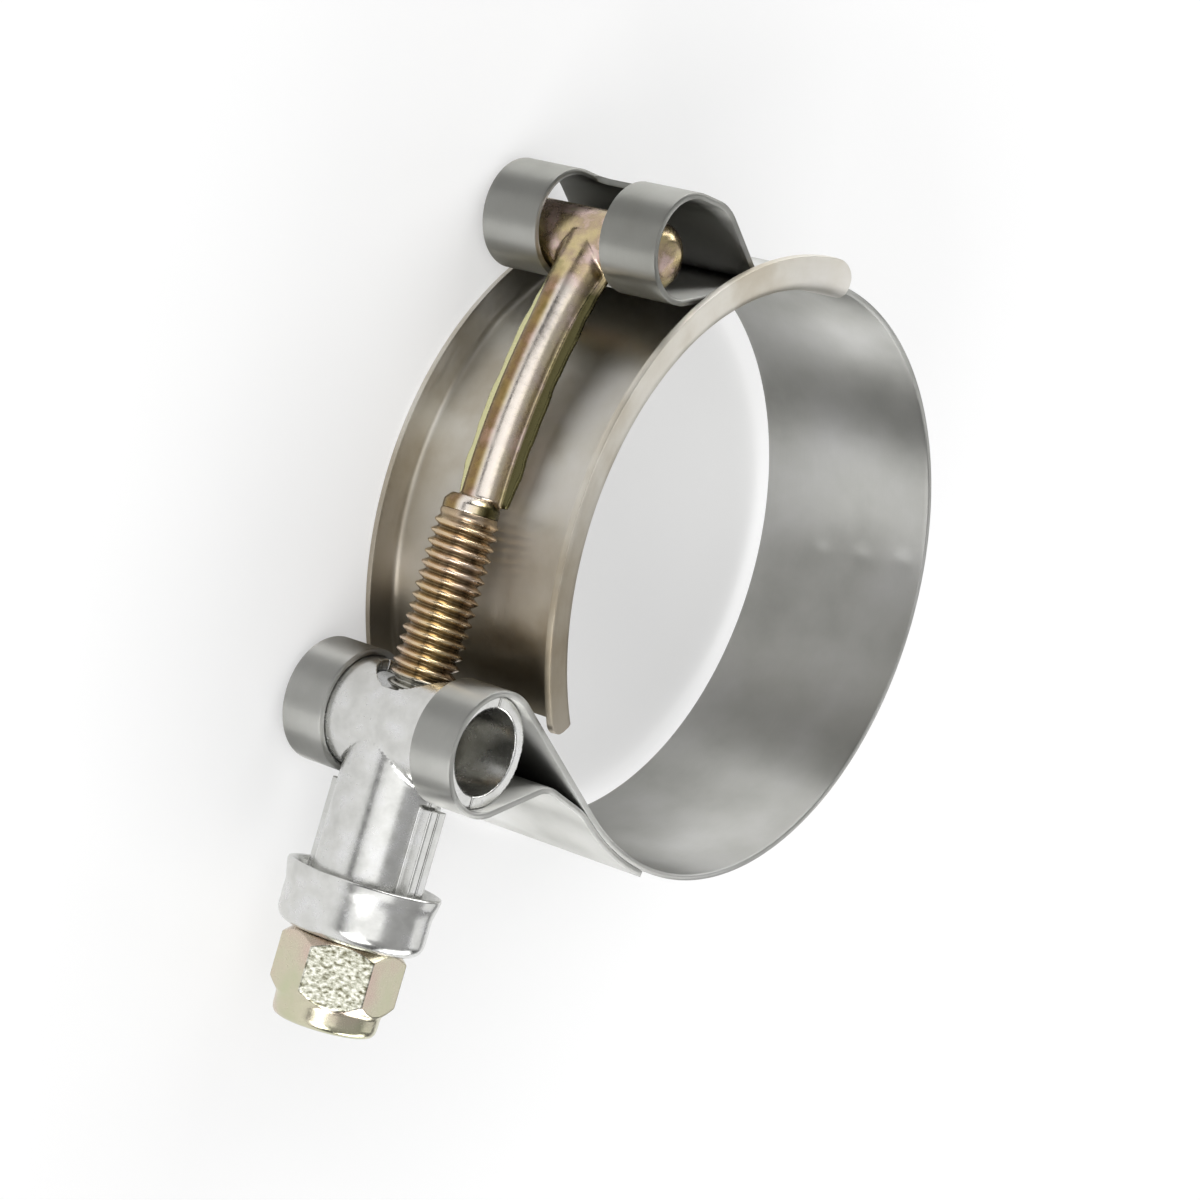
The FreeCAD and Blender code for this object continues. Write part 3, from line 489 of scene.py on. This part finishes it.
# %% Strap surface
HEAD_SLOT, TAIL_SLOT, SLOT_CORNER = 3.75, 5.4, 1.0
HEAD_SLOT_BEFORE, HEAD_SLOT_BEYOND, TAIL_SLOT_BEFORE = 0.2, 0.3, 1.1
TUBE_OUT, TUBE_IN, STEM_OUT, STEM_IN = 5.1, 4.0, 4.8, 3.7
STEM_SIDE_ROOM = 1.6
ROW_SPACING, SLOT_MARGIN = 0.45, 1.4
DENT_DEPTH, DENT_SPREAD = 0.12, 0.9
stem_side = pivot[0] + STEM_OUT + STEM_SIDE_ROOM
past_loop = (stem_side - polar(WAVE_RISE - 90, TAIL_LOOP, pivot)[0]) / math.cos(math.radians(WAVE_RISE))
slots = [(marks[5] - HEAD_SLOT_BEFORE, marks[7] + HEAD_SLOT_BEYOND, HEAD_SLOT),
         (marks[10] - TAIL_SLOT_BEFORE, marks[11] + past_loop, TAIL_SLOT)]
SPOTS = [(10.0, -2.1), (11.3, 2.8), (12.6, 7.7), (250.0, 4.5), (250.0, -4.5), (103.0, 5.0), (103.0, -5.0)]
INNER_COLUMNS, OUTER_COLUMNS = 5, 12


def strap_surface():
    """Points (path(s), z) with the strip's width split at the slot's edge.

    Across the strip the first columns fill the slot's width and the rest go from the
    slot's edge to the strip's. Inside a slot the edge moves outward near its ends, as
    edge = half width - corner + sqrt(corner^2 - (corner - distance to the end)^2).
    """
    s = np.arange(0, marks[-1], ROW_SPACING)
    corner_rows = SLOT_CORNER * (1 - np.cos(np.linspace(0, math.pi / 2, 7)))
    for begin, end, _ in slots:
        s = s[np.abs(s[:, None] - [begin, end]).min(1) > SLOT_MARGIN]
        outside = [begin - 0.5, begin - 1.0, end + 0.5, end + 1.0]
        s = np.concatenate([s, begin + corner_rows, end - corner_rows, outside])
    s = np.unique(np.append(s, marks[-1]).round(6))
    edge_line = np.interp(s, [slots[0][1], slots[1][0]], [HEAD_SLOT, TAIL_SLOT]) - SLOT_CORNER
    edge = edge_line.copy()
    in_slot = np.zeros(len(s), bool)
    for begin, end, half in slots:
        distance = np.minimum(s - begin, end - s)
        inside = distance > -1e-6
        rounded = SLOT_CORNER - np.clip(distance, 0, SLOT_CORNER)
        edge = np.where(inside, half - SLOT_CORNER + np.sqrt(SLOT_CORNER**2 - rounded**2), edge)
        in_slot |= inside
    inner = np.linspace(0, 1, INNER_COLUMNS + 1)[None, :-1] * edge_line[:, None]
    outer = np.linspace(0, 1, OUTER_COLUMNS + 1)[None, :]
    outer = edge[:, None] + (STRAP_HALF - edge[:, None]) * outer
    half_z = np.concatenate([inner, outer], 1)
    z = np.concatenate([-half_z[:, :0:-1], half_z], 1)
    x = np.interp(s, path_length, path[:, 0])[:, None]
    y = np.interp(s, path_length, path[:, 1])[:, None]
    left = np.stack([np.interp(s, path_length, path_left[:, k]) for k in (0, 1)], 1)
    angle = np.degrees(np.arctan2(y, x)) % 360
    dent = np.zeros_like(z)
    for spot_angle, spot_z in SPOTS:
        away = (np.radians(angle - spot_angle) * strap_middle) ** 2 + (z - spot_z) ** 2
        dent += DENT_DEPTH * np.exp(-away / DENT_SPREAD)
    push = dent * np.sign(left[:, :1] * x + left[:, 1:] * y)
    points = np.stack([x + push * left[:, :1], y + push * left[:, 1:], z], -1)
    faces = grid_faces(*z.shape)
    row, column = np.divmod(faces[:, 0], z.shape[1])
    middle = OUTER_COLUMNS + INNER_COLUMNS
    cut = in_slot[row] & in_slot[row + 1] & (np.abs(column + 0.5 - middle) < INNER_COLUMNS)
    uv = np.stack([np.broadcast_to(s[:, None], z.shape), z], -1)
    return points, faces[~cut], uv


points, faces, uv = strap_surface()
strap = make_piece("strap", [(points, faces)], "root", strap_steel, ["band"], uv)
thicken(strap, STRAP_SHEET)

# %% [markdown]
# ## The bridge
# The bridge is a channel rolled to the ring's radius. Its section is a walk across the
# sheet with one bend up to each flange, and the ring's angle carries it round. Near its
# ends the flanges run out in rounded corners.

# %% Bridge surface
FLANGE_LEAN, EDGE_GAP, BEND, INSIDE_BOX = 8.0, 0.1, 0.8, 0.05
FIRST_END, LAST_END = (5.5, 0.15, 1.6), (3.0, 0.35, 2.0)
FINE_FIRST, FINE_LAST, FINE_ROWS, PLAIN_ROWS = 6, 4, 24, 140
BRIDGE_FROM, BRIDGE_TO, FLANGE_RISE = 90.0, 216.0, 2.9
lean = math.radians(FLANGE_LEAN)
back = bore_radius + BRIDGE_SHEET / 2
root_z = STRAP_HALF + EDGE_GAP + BRIDGE_SHEET / 2 / math.cos(lean) - BRIDGE_SHEET / 2 * math.tan(lean)
tangent = BEND * math.tan(math.radians(90 - FLANGE_LEAN) / 2)
flange_run = (FLANGE_RISE + BRIDGE_SHEET / 2 - tangent * math.cos(lean)) / math.cos(lean) - INSIDE_BOX


def run_out(way, stretch, least, power):
    """Share of the flange's height at a way from its end, in degrees: full from stretch on."""
    closeness = 1 - np.clip(way / stretch, 0, 1)
    return least + (1 - least) * np.sqrt(1 - closeness**power)


def bridge_surface():
    """Points (r cos a, r sin a, z) with the channel's (r, z) section shortened near both ends.

    The flange's height is full in the middle and falls round a corner over the last
    degrees: share = least + (1 - least) * sqrt(1 - closeness to the end^power).
    """
    plain_from, plain_to = BRIDGE_FROM + FINE_FIRST, BRIDGE_TO - FINE_LAST
    angle = np.concatenate([np.linspace(BRIDGE_FROM, plain_from, FINE_ROWS),
                            np.linspace(plain_from, plain_to, PLAIN_ROWS)[1:-1],
                            np.linspace(plain_to, BRIDGE_TO, FINE_ROWS)])
    base = walk((back, 0), 90, [(root_z - tangent, 0), (BEND, FLANGE_LEAN - 90)], 0.35)[0]
    share = np.minimum(run_out(angle - BRIDGE_FROM, *FIRST_END), run_out(BRIDGE_TO - angle, *LAST_END))
    t = np.linspace(0, 1, 10)[1:]
    run = share[:, None] * flange_run * t[None, :]
    r_flange = base[-1, 0] + run * math.cos(lean)
    z_flange = base[-1, 1] + run * math.sin(lean)
    r_half = np.concatenate([np.broadcast_to(base[:, 0], (len(angle), len(base))), r_flange], 1)
    z_half = np.concatenate([np.broadcast_to(base[:, 1], (len(angle), len(base))), z_flange], 1)
    r = np.concatenate([r_half[:, :0:-1], r_half], 1)
    z = np.concatenate([-z_half[:, :0:-1], z_half], 1)
    turn = np.radians(angle)[:, None]
    points = np.stack([r * np.cos(turn), r * np.sin(turn), z], -1)
    uv = np.stack([np.broadcast_to(turn * back, r.shape), z], -1)
    return points, grid_faces(*r.shape), uv


points, faces, uv = bridge_surface()
bridge = make_piece("bridge_channel", [(points, faces)], "root", bridge_steel, ["bridge"], uv)
thicken(bridge, BRIDGE_SHEET)

# %% [markdown]
# ## Turned and swept surfaces
# A lathe surface is a profile of (radius, way along the axis) turned about that axis. The
# nut, the thread and the domed ends of the bolt's head are all made by it, the nut and the
# thread with a radius that also depends on the angle.

# %% Lathe


def lathe(radius, way, centre, axis, columns=64):
    """Surface of turning: point = centre + way * axis + radius * (cos a * u + sin a * v).

    The radius is one number for each row, or one for each row and column. The way along
    the axis is one number for each row.
    """
    radius = np.asarray(radius, float)
    radius = radius[:, None] * np.ones(columns) if radius.ndim == 1 else radius
    turn = np.linspace(0, 2 * math.pi, radius.shape[1], endpoint=False)
    axis = np.array(axis, float)
    u = np.array([1.0, 0, 0])
    v = np.cross(axis, u)
    way = np.asarray(way, float)[:, None, None]
    ring = np.cos(turn)[None, :, None] * u + np.sin(turn)[None, :, None] * v
    return np.array(centre) + way * axis + radius[..., None] * ring


def closed(points):
    """A surface of rings with its faces, its first and last ring drawn to their middles."""
    rows, columns = points.shape[:2]
    first, last = (points[[row]].mean(1, keepdims=True).repeat(columns, 1) for row in (0, rows - 1))
    points = np.concatenate([first, points, last])
    return points, grid_faces(*points.shape[:2], close_columns=True)


# %% [markdown]
# ## The bolt
# The bolt is forged: a cross bar with domed ends, a shank curved to follow the ring, and
# thin flash where the dies met. The forms are made one by one and merged by a fine voxel
# remesh, which leaves the soft blends of a forging. The rolled thread is one surface whose
# radius follows a helix.

# %% Bolt sizes
HEAD_RADIUS, HEAD_HALF, HEAD_DOME = 3.15, 8.5, 1.9
THREAD_RADIUS, PITCH, THREAD_DEPTH, NECK_RADIUS, END_RADIUS = 3.0, 1.0, 0.58, 2.6, 2.3
THREAD_START, SHANK_INSET, THREAD_COLUMNS = -1.2, 1.4, 48
SHANK_RIDGE, SHANK_DEPTH, SHANK_HALF, SHANK_COLUMNS = 2.3, 1.5, 2.1, 56
SWELL_FROM, SWELL_LENGTH, SWELL_DEPTH, SWELL_HALF = 0.62, 0.35, 0.9, 1.1
FLASH_REACH, FLASH_SHEET, FLASH_BLUNT, FLASH_START = 3.3, 0.32, 0.3, 0.12
# Groove of the thread: ways from crest to crest, and how deep it is there
GROOVE_WAYS = [0, 0.07, 0.2, 0.42, 0.5, 0.58, 0.8, 0.93, 1]
GROOVE_DEPTHS = [0, 0.02, 0.3, 0.9, 1, 0.9, 0.3, 0.02, 0]
thread_axis = pivot[0]
thread_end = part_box("t_bolt")[0].y / MM
shank_foot = thread_axis + SHANK_INSET
shank_step = head[0] - shank_foot
shank_radius = (shank_step**2 + head[1] ** 2) / (2 * shank_step)
shank_turn = math.asin(head[1] / shank_radius)

# %% Bolt forms


def shank_line(u):
    """Centre and outward direction of the shank, from the neck (u = 0) to the head (u = 1)."""
    angle = math.pi - shank_turn * u
    outward = np.stack([np.cos(angle), np.sin(angle), np.zeros_like(u)], 1)
    centre = np.array([shank_foot + shank_radius, 0, 0]) + shank_radius * outward
    return centre, outward


def shank_sweep(outer, inner, half, u, blunt=1.0):
    """Section (outer or inner * cos a outward, half * sin a sideways), carried along the shank.

    A power below one on the cosine keeps the section thick out to its two tips.
    """
    centre, outward = shank_line(u)
    a = np.linspace(0, 2 * math.pi, SHANK_COLUMNS, endpoint=False)[None, :]
    cosine = np.sign(np.cos(a)) * np.abs(np.cos(a)) ** blunt
    depth = np.where(cosine > 0, outer[:, None], inner[:, None]) * cosine
    points = centre[:, None, :] + depth[..., None] * outward[:, None, :]
    points = points + (half[:, None] * np.sin(a))[..., None] * np.array([0, 0, 1.0])
    return closed(points)


def bolt_forms():
    """Closed forms that overlap: cross bar, shank, flash and neck."""
    z = np.linspace(-1, 1, 61) * HEAD_HALF
    cap = np.clip((np.abs(z) - HEAD_HALF + HEAD_DOME) / HEAD_DOME, 0, 1)
    bar = closed(lathe(HEAD_RADIUS * np.sqrt(1 - cap**2) + 1e-3, z, (*head, 0), (0, 0, 1), 72))
    u = np.linspace(0, 0.97, 70)
    swell = np.clip((u - SWELL_FROM) / SWELL_LENGTH, 0, 1) ** 2
    deeper = SWELL_DEPTH * swell
    shank = shank_sweep(SHANK_RIDGE + deeper, SHANK_DEPTH + deeper, SHANK_HALF + SWELL_HALF * swell, u)
    wander = 0.6 * (0.10 * np.sin(u * 23) + 0.06 * np.sin(u * 51 + 1))
    taper = 0.5 * np.clip(FLASH_START - u, 0, 1) / FLASH_START
    flat = np.full_like(u, FLASH_SHEET)
    flash = shank_sweep(flat, flat, FLASH_REACH + wander - taper, u, FLASH_BLUNT)
    neck = closed(lathe([2.0, 2.3, NECK_RADIUS, NECK_RADIUS, NECK_RADIUS], [0.3, 0.0, -0.4, -0.9, -1.25],
                        (thread_axis, 0, 0), (0, 1, 0)))
    return [bar, shank, flash, neck]


def thread_surface():
    """Radius = crest - depth * groove(phase), with phase = way / pitch + angle / full turn.

    The groove is a V with a rounded root and a narrow crest. It grows out of the neck over
    the first turn and a half, and a cone trims the end.
    """
    y = np.append(np.arange(THREAD_START, thread_end, -PITCH / 10), thread_end)
    phase = (y[:, None] / PITCH + np.arange(THREAD_COLUMNS)[None, :] / THREAD_COLUMNS) % 1
    groove = np.interp(phase, GROOVE_WAYS, GROOVE_DEPTHS)
    fade = np.clip((THREAD_START - y) / (1.5 * PITCH), 0, 1)[:, None]
    crest = NECK_RADIUS + (THREAD_RADIUS - NECK_RADIUS) * fade
    radius = crest - THREAD_DEPTH * groove * fade
    radius = np.minimum(radius, (END_RADIUS + (y - thread_end))[:, None])
    return closed(lathe(radius, y, (thread_axis, 0, 0), (0, 1, 0)))


# %% Bolt piece
VOXEL, BOLT_SMOOTHING, SHELL_SMOOTHING = 0.13, 5, 6


def merge(piece, smoothing):
    """Merges a piece's overlapping forms into one skin, and smooths it so many times."""
    remesh = piece.modifiers.new("merge", "REMESH")
    remesh.mode, remesh.voxel_size = "VOXEL", VOXEL * MM
    remesh.use_smooth_shade = True
    soften = piece.modifiers.new("soften", "SMOOTH")
    soften.factor, soften.iterations = 0.5, smoothing


bolt = make_piece("bolt_forging", bolt_forms(), "bolt", yellow_zinc)
merge(bolt, BOLT_SMOOTHING)
make_piece("bolt_thread", [thread_surface()], "bolt", thread_zinc, ["t_bolt"])
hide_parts("t_bolt")

# %% [markdown]
# ## The nut
# A hexagon's outline in polar form is its half width divided by the cosine of the angle
# from the nearest flat. Taking the smaller of that and a cone's radius gives the chamfered
# corners, and where the profile is inside the flats the nut is simply round.

# %% Nut piece
NUT_HALF, NUT_TURNED, BORE, HEX_HEIGHT = 5.0, 21.0, 3.05, 5.7
CORNER_REACH, CORNER_BLUNT, BLUNT_SHARE, SEAT = 5.81, 5.72, 0.3, 4.0
nut_low, nut_high = (corner.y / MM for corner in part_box("lock_nut"))
insert_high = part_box("nylon_insert")[1].y / MM


def nut_surface():
    """Radius = smaller of the profile and the hexagon, on a grid of profile points by angle.

    The profile goes from the bore over the washer face, down the hexagon's corners, over the
    crimped crown and back up the insert's seat. Beyond a limit the corners grow more slowly.
    """
    top, end = nut_high, nut_low
    hex_end = top - HEX_HEIGHT
    profile = [(BORE, insert_high + 0.1), (BORE, top - 0.3), (BORE + 0.4, top), (4.65, top),
               (4.8, top - 0.03),
               *[(4.8 + 0.126 * k, top - 0.04 - 0.11 * k) for k in range(1, 9)],
               *[(CORNER_REACH, top - 1.0 - 0.3 * k) for k in range(10)],
               *[(CORNER_REACH - 0.11 * k, hex_end + 0.9 - 0.13 * k) for k in range(9)],
               (4.86, hex_end - 0.30), (4.82, hex_end - 0.5), (4.80, end + 0.9), (4.74, end + 0.5),
               (4.55, end + 0.2), (4.2, end + 0.03), (3.7, end), (3.55, end + 0.1), (3.5, end + 0.45),
               (SEAT, end + 0.5), (SEAT, insert_high + 0.1)]
    limit, way = np.array(profile).T
    a = np.arange(360)
    turned = np.radians((a + NUT_TURNED + 30) % 60 - 30)
    hexagon = NUT_HALF / np.cos(turned)
    hexagon = np.minimum(hexagon, CORNER_BLUNT + (hexagon - CORNER_BLUNT) * BLUNT_SHARE)
    radius = np.minimum(limit[:, None], hexagon[None, :])
    points = lathe(radius, way, (thread_axis, 0, 0), (0, 1, 0))
    return points, grid_faces(*points.shape[:2], close_rows=True, close_columns=True)


nut = make_piece("hex_nut", [nut_surface()], "nut", nut_zinc, ["lock_nut"])
nut.modifiers.new("shading", "WEIGHTED_NORMAL").keep_sharp = False
insert_materials = frame["nodes"]["nylon_insert"].data.materials
insert_materials.clear()
insert_materials.append(nylon)

# %% [markdown]
# ## The end cup
# The cup is pressed from sheet and oval, wide enough for the stem's two wings. Each point
# of its wall profile says how far it stands out from the oval hollow inside and how far
# down it is.

# %% Cup piece
CUP_DEEP, CUP_WIDE, CUP_SHEET, CUP_COLUMNS = 5.3, 6.5, 0.75, 120
CUP_ROUND, CUP_INNER_ROUND, CUP_HOLE, HOLE_EASE, DEEP_FLARE = 1.4, 1.0, 3.1, 0.1, 0.98
cup_low, cup_high = (corner.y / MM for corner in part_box("end_cup"))


def cup_surface():
    """Point = ((deep + out) cos a, way, (wide + out) sin a), round a closed wall profile.

    At the hole in the floor both half axes are the hole's radius, so the oval becomes a
    circle there. The rim flares less in depth than in width.
    """
    floor = cup_low + CUP_SHEET
    corner = np.linspace(0, math.pi / 2, 8)
    inward, upward = 1 - np.cos(corner), 1 - np.sin(corner)
    wall = [(0, floor + 1.6), (0, cup_high - 2.0), (0.12, cup_high - 1.2), (0.4, cup_high - 0.3),
            (0.55, cup_high - 0.05), (0.8, cup_high), (1.05, cup_high - 0.08), (1.16, cup_high - 0.3),
            (0.95, cup_high - 1.1), (CUP_SHEET, cup_high - 2.0), (CUP_SHEET, floor + 1.5),
            *zip(CUP_SHEET - CUP_ROUND * inward, cup_low + CUP_ROUND * upward)]
    out, way = np.array(wall).T
    deep, wide = CUP_DEEP + np.minimum(out, DEEP_FLARE), CUP_WIDE + out
    hole = np.array([[CUP_HOLE + HOLE_EASE, cup_low], [CUP_HOLE, cup_low + HOLE_EASE],
                     [CUP_HOLE, floor - HOLE_EASE], [CUP_HOLE + HOLE_EASE, floor]])
    inner_out, inner_way = -CUP_INNER_ROUND * upward, floor + CUP_INNER_ROUND * inward
    deep = np.concatenate([deep, hole[:, 0], CUP_DEEP + inner_out])
    wide = np.concatenate([wide, hole[:, 0], CUP_WIDE + inner_out])
    way = np.concatenate([way, hole[:, 1], inner_way])
    a = np.linspace(0, 2 * math.pi, CUP_COLUMNS, endpoint=False)
    points = np.stack([thread_axis + deep[:, None] * np.cos(a), way[:, None] * np.ones(len(a)),
                       wide[:, None] * np.sin(a)], -1)
    return points, grid_faces(*points.shape[:2], close_rows=True, close_columns=True)


cup = make_piece("end_cup_shell", [cup_surface()], "cup", pivot_steel, ["end_cup"])
cup.modifiers.new("shading", "WEIGHTED_NORMAL").keep_sharp = False

# %% [markdown]
# ## The pivot's two shells
# Each shell is pressed in one stroke: half of the cross tube and half of the stem with a
# wing along each side. A copy of the model's own shell, remeshed finely and smoothed a
# little, has the soft corners that pressing leaves. Points near the round walls are then
# put back on their true radius, so that the curved walls are free of facets, and the two
# shells keep a fine seam between them.

# %% Shell pieces
NEAR_WALL, HALF_SEAM, BLEND_END = 0.09, 0.05, 1.5


def pressed_copy(name, node, side):
    """A voxel remesh of a node's shell, smoothed and then put back on its cylinders."""
    mesh = frame["nodes"][node].data.copy()
    weld(mesh, face_outward=False)
    mesh.materials.clear()
    mesh.materials.append(pivot_steel)
    piece = add_object(name, mesh)
    merge(piece, SHELL_SMOOTHING)
    bpy.context.view_layer.update()
    done = bpy.data.meshes.new_from_object(piece.evaluated_get(bpy.context.evaluated_depsgraph_get()))
    piece.modifiers.clear()
    piece.data = done
    points = np.zeros(len(done.vertices) * 3)
    done.vertices.foreach_get("co", points)
    points = points.reshape(-1, 3) / MM
    x, y, z = points[:, 0] - pivot[0], points[:, 1] - pivot[1], points[:, 2]
    for radius in (TUBE_OUT, TUBE_IN):
        distance = np.hypot(x, y)
        near = np.abs(distance - radius) < NEAR_WALL
        x, y = (np.where(near, c * radius / distance, c) for c in (x, y))
    for radius in (STEM_OUT, STEM_IN):
        distance = np.hypot(x, z)
        near = (np.abs(distance - radius) < NEAR_WALL) & (y < -TUBE_OUT - BLEND_END)
        x, z = (np.where(near, c * radius / distance, c) for c in (x, z))
    x = np.where(x * side < HALF_SEAM, HALF_SEAM * side, x)
    points = np.stack([x + pivot[0], y + pivot[1], z], 1) * MM
    done.vertices.foreach_set("co", points.ravel())
    done.update()
    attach(piece, "trunnion")
    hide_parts(node)
    print(name, len(done.vertices), "points")


pressed_copy("outer_shell", "trunnion_outer_shell", -1)
pressed_copy("inner_shell", "trunnion_inner_shell", 1)

# %% [markdown]
# ## Floor, light and camera
# The floor is white to the camera and in reflections. Near the clamp most of its own shading
# is kept, so that the shadow stays, and further off it is plain white. Steel is what it
# reflects, so the world is dim and the lamps stand apart: the dark between the three strips
# draws the grey bands across the ring.

# %% Floor
FLOOR_HALF, FLOOR_DROP = 9.0, 0.00005
SHADED_WITHIN, WHITE_BEYOND, LEAST_WHITE = 0.05, 0.25, 0.4
floor_level = cad_low.z - FLOOR_DROP
floor_mesh = bpy.data.meshes.new("floor")
corners = [(x * FLOOR_HALF, y * FLOOR_HALF, floor_level) for x, y in ((-1, -1), (1, -1), (1, 1), (-1, 1))]
floor_mesh.from_pydata(corners, [], [(0, 1, 2, 3)])
floor = add_object("floor", floor_mesh)
paper = bpy.data.materials.new("paper")
paper.use_nodes = True
tree = paper.node_tree
tree.nodes.clear()
surface = add_node(tree, "ShaderNodeBsdfDiffuse", Color=(0.97, 0.97, 0.97, 1))
glow = add_node(tree, "ShaderNodeEmission", Color=(1, 1, 1, 1), Strength=1.0)
blend = tree.nodes.new("ShaderNodeMixShader")
rays = tree.nodes.new("ShaderNodeLightPath")
camera_or_glossy = maths(tree, "ADD", rays.outputs["Is Camera Ray"], rays.outputs["Is Glossy Ray"])
seen = maths(tree, "ADD", camera_or_glossy, rays.outputs["Is Transmission Ray"])
away = distance_along(tree, tree.nodes.new("ShaderNodeTexCoord").outputs["Object"])
share = between(tree, away, SHADED_WITHIN, WHITE_BEYOND, least=LEAST_WHITE)
tree.links.new(maths(tree, "MULTIPLY", seen, share), blend.inputs[0])
tree.links.new(surface.outputs[0], blend.inputs[1])
tree.links.new(glow.outputs[0], blend.inputs[2])
tree.links.new(blend.outputs[0], add_node(tree, "ShaderNodeOutputMaterial").inputs[0])
floor_mesh.materials.append(paper)

# %% World
SKY_STRENGTH = 0.45
world = bpy.data.worlds.new("studio")
bpy.context.scene.world = world
world.use_nodes = True
tree = world.node_tree
background = tree.nodes["Background"]
direction = tree.nodes.new("ShaderNodeTexCoord")
height = between(tree, split(tree, direction.outputs["Generated"])["Z"], -1.0, 1.0)
sky = ramp(tree, height, [(0.0, 0.4), (0.5, 0.10), (0.66, 0.10), (0.82, 0.55), (0.95, 1.0)])
tree.links.new(sky, background.inputs["Color"])
background.inputs["Strength"].default_value = SKY_STRENGTH

# %% Lights


def soft_light(name, heading, height, distance, width, tall, power):
    """A lamp at a heading round the clamp and a height, in degrees, that looks at the clamp."""
    data = bpy.data.lights.new(name, "AREA")
    data.shape, data.size, data.size_y, data.energy = "RECTANGLE", width, tall, power
    lamp = add_object(name, data)
    flat, up = polar(heading, math.cos(math.radians(height))), math.sin(math.radians(height))
    away = Vector((*flat, up)) * distance
    lamp.matrix_world = Matrix.Translation(away) @ (-away).to_track_quat("-Z", "Y").to_matrix().to_4x4()


soft_light("top_strip", 74, 21, 0.75, 0.95, 0.30, 4.9)
soft_light("nut_strip", 300, 21, 0.75, 0.55, 0.30, 3.0)
soft_light("near_strip", 225, 21, 0.75, 0.50, 0.30, 2.75)
soft_light("front", 178, 38, 0.70, 0.70, 0.70, 1.6)
soft_light("behind", 358, 30, 0.80, 0.55, 0.55, 0.85)

# %% Camera
FOCAL_PIXELS, PICTURE, SENSOR = 3347.9, 1200, 36.0
STANDS_AT = (-0.263349, -0.000821, 0.186846)
RIGHT, UP, BACK = (0.57301, 0.27800, 0.77096), (-0.15304, 0.96046, -0.23258), (-0.80513, 0.01529, 0.59290)
camera_data = bpy.data.cameras.new("camera")
camera_data.sensor_width = SENSOR
camera_data.lens = FOCAL_PIXELS / PICTURE * SENSOR
camera_data.clip_start, camera_data.clip_end = 0.01, 20
camera = add_object("camera", camera_data)
turn = Matrix((RIGHT, UP, BACK)).transposed().to_4x4()
camera.matrix_world = Matrix.Translation(STANDS_AT) @ turn
bpy.context.scene.camera = camera
bpy.context.scene.view_settings.view_transform = "Standard"
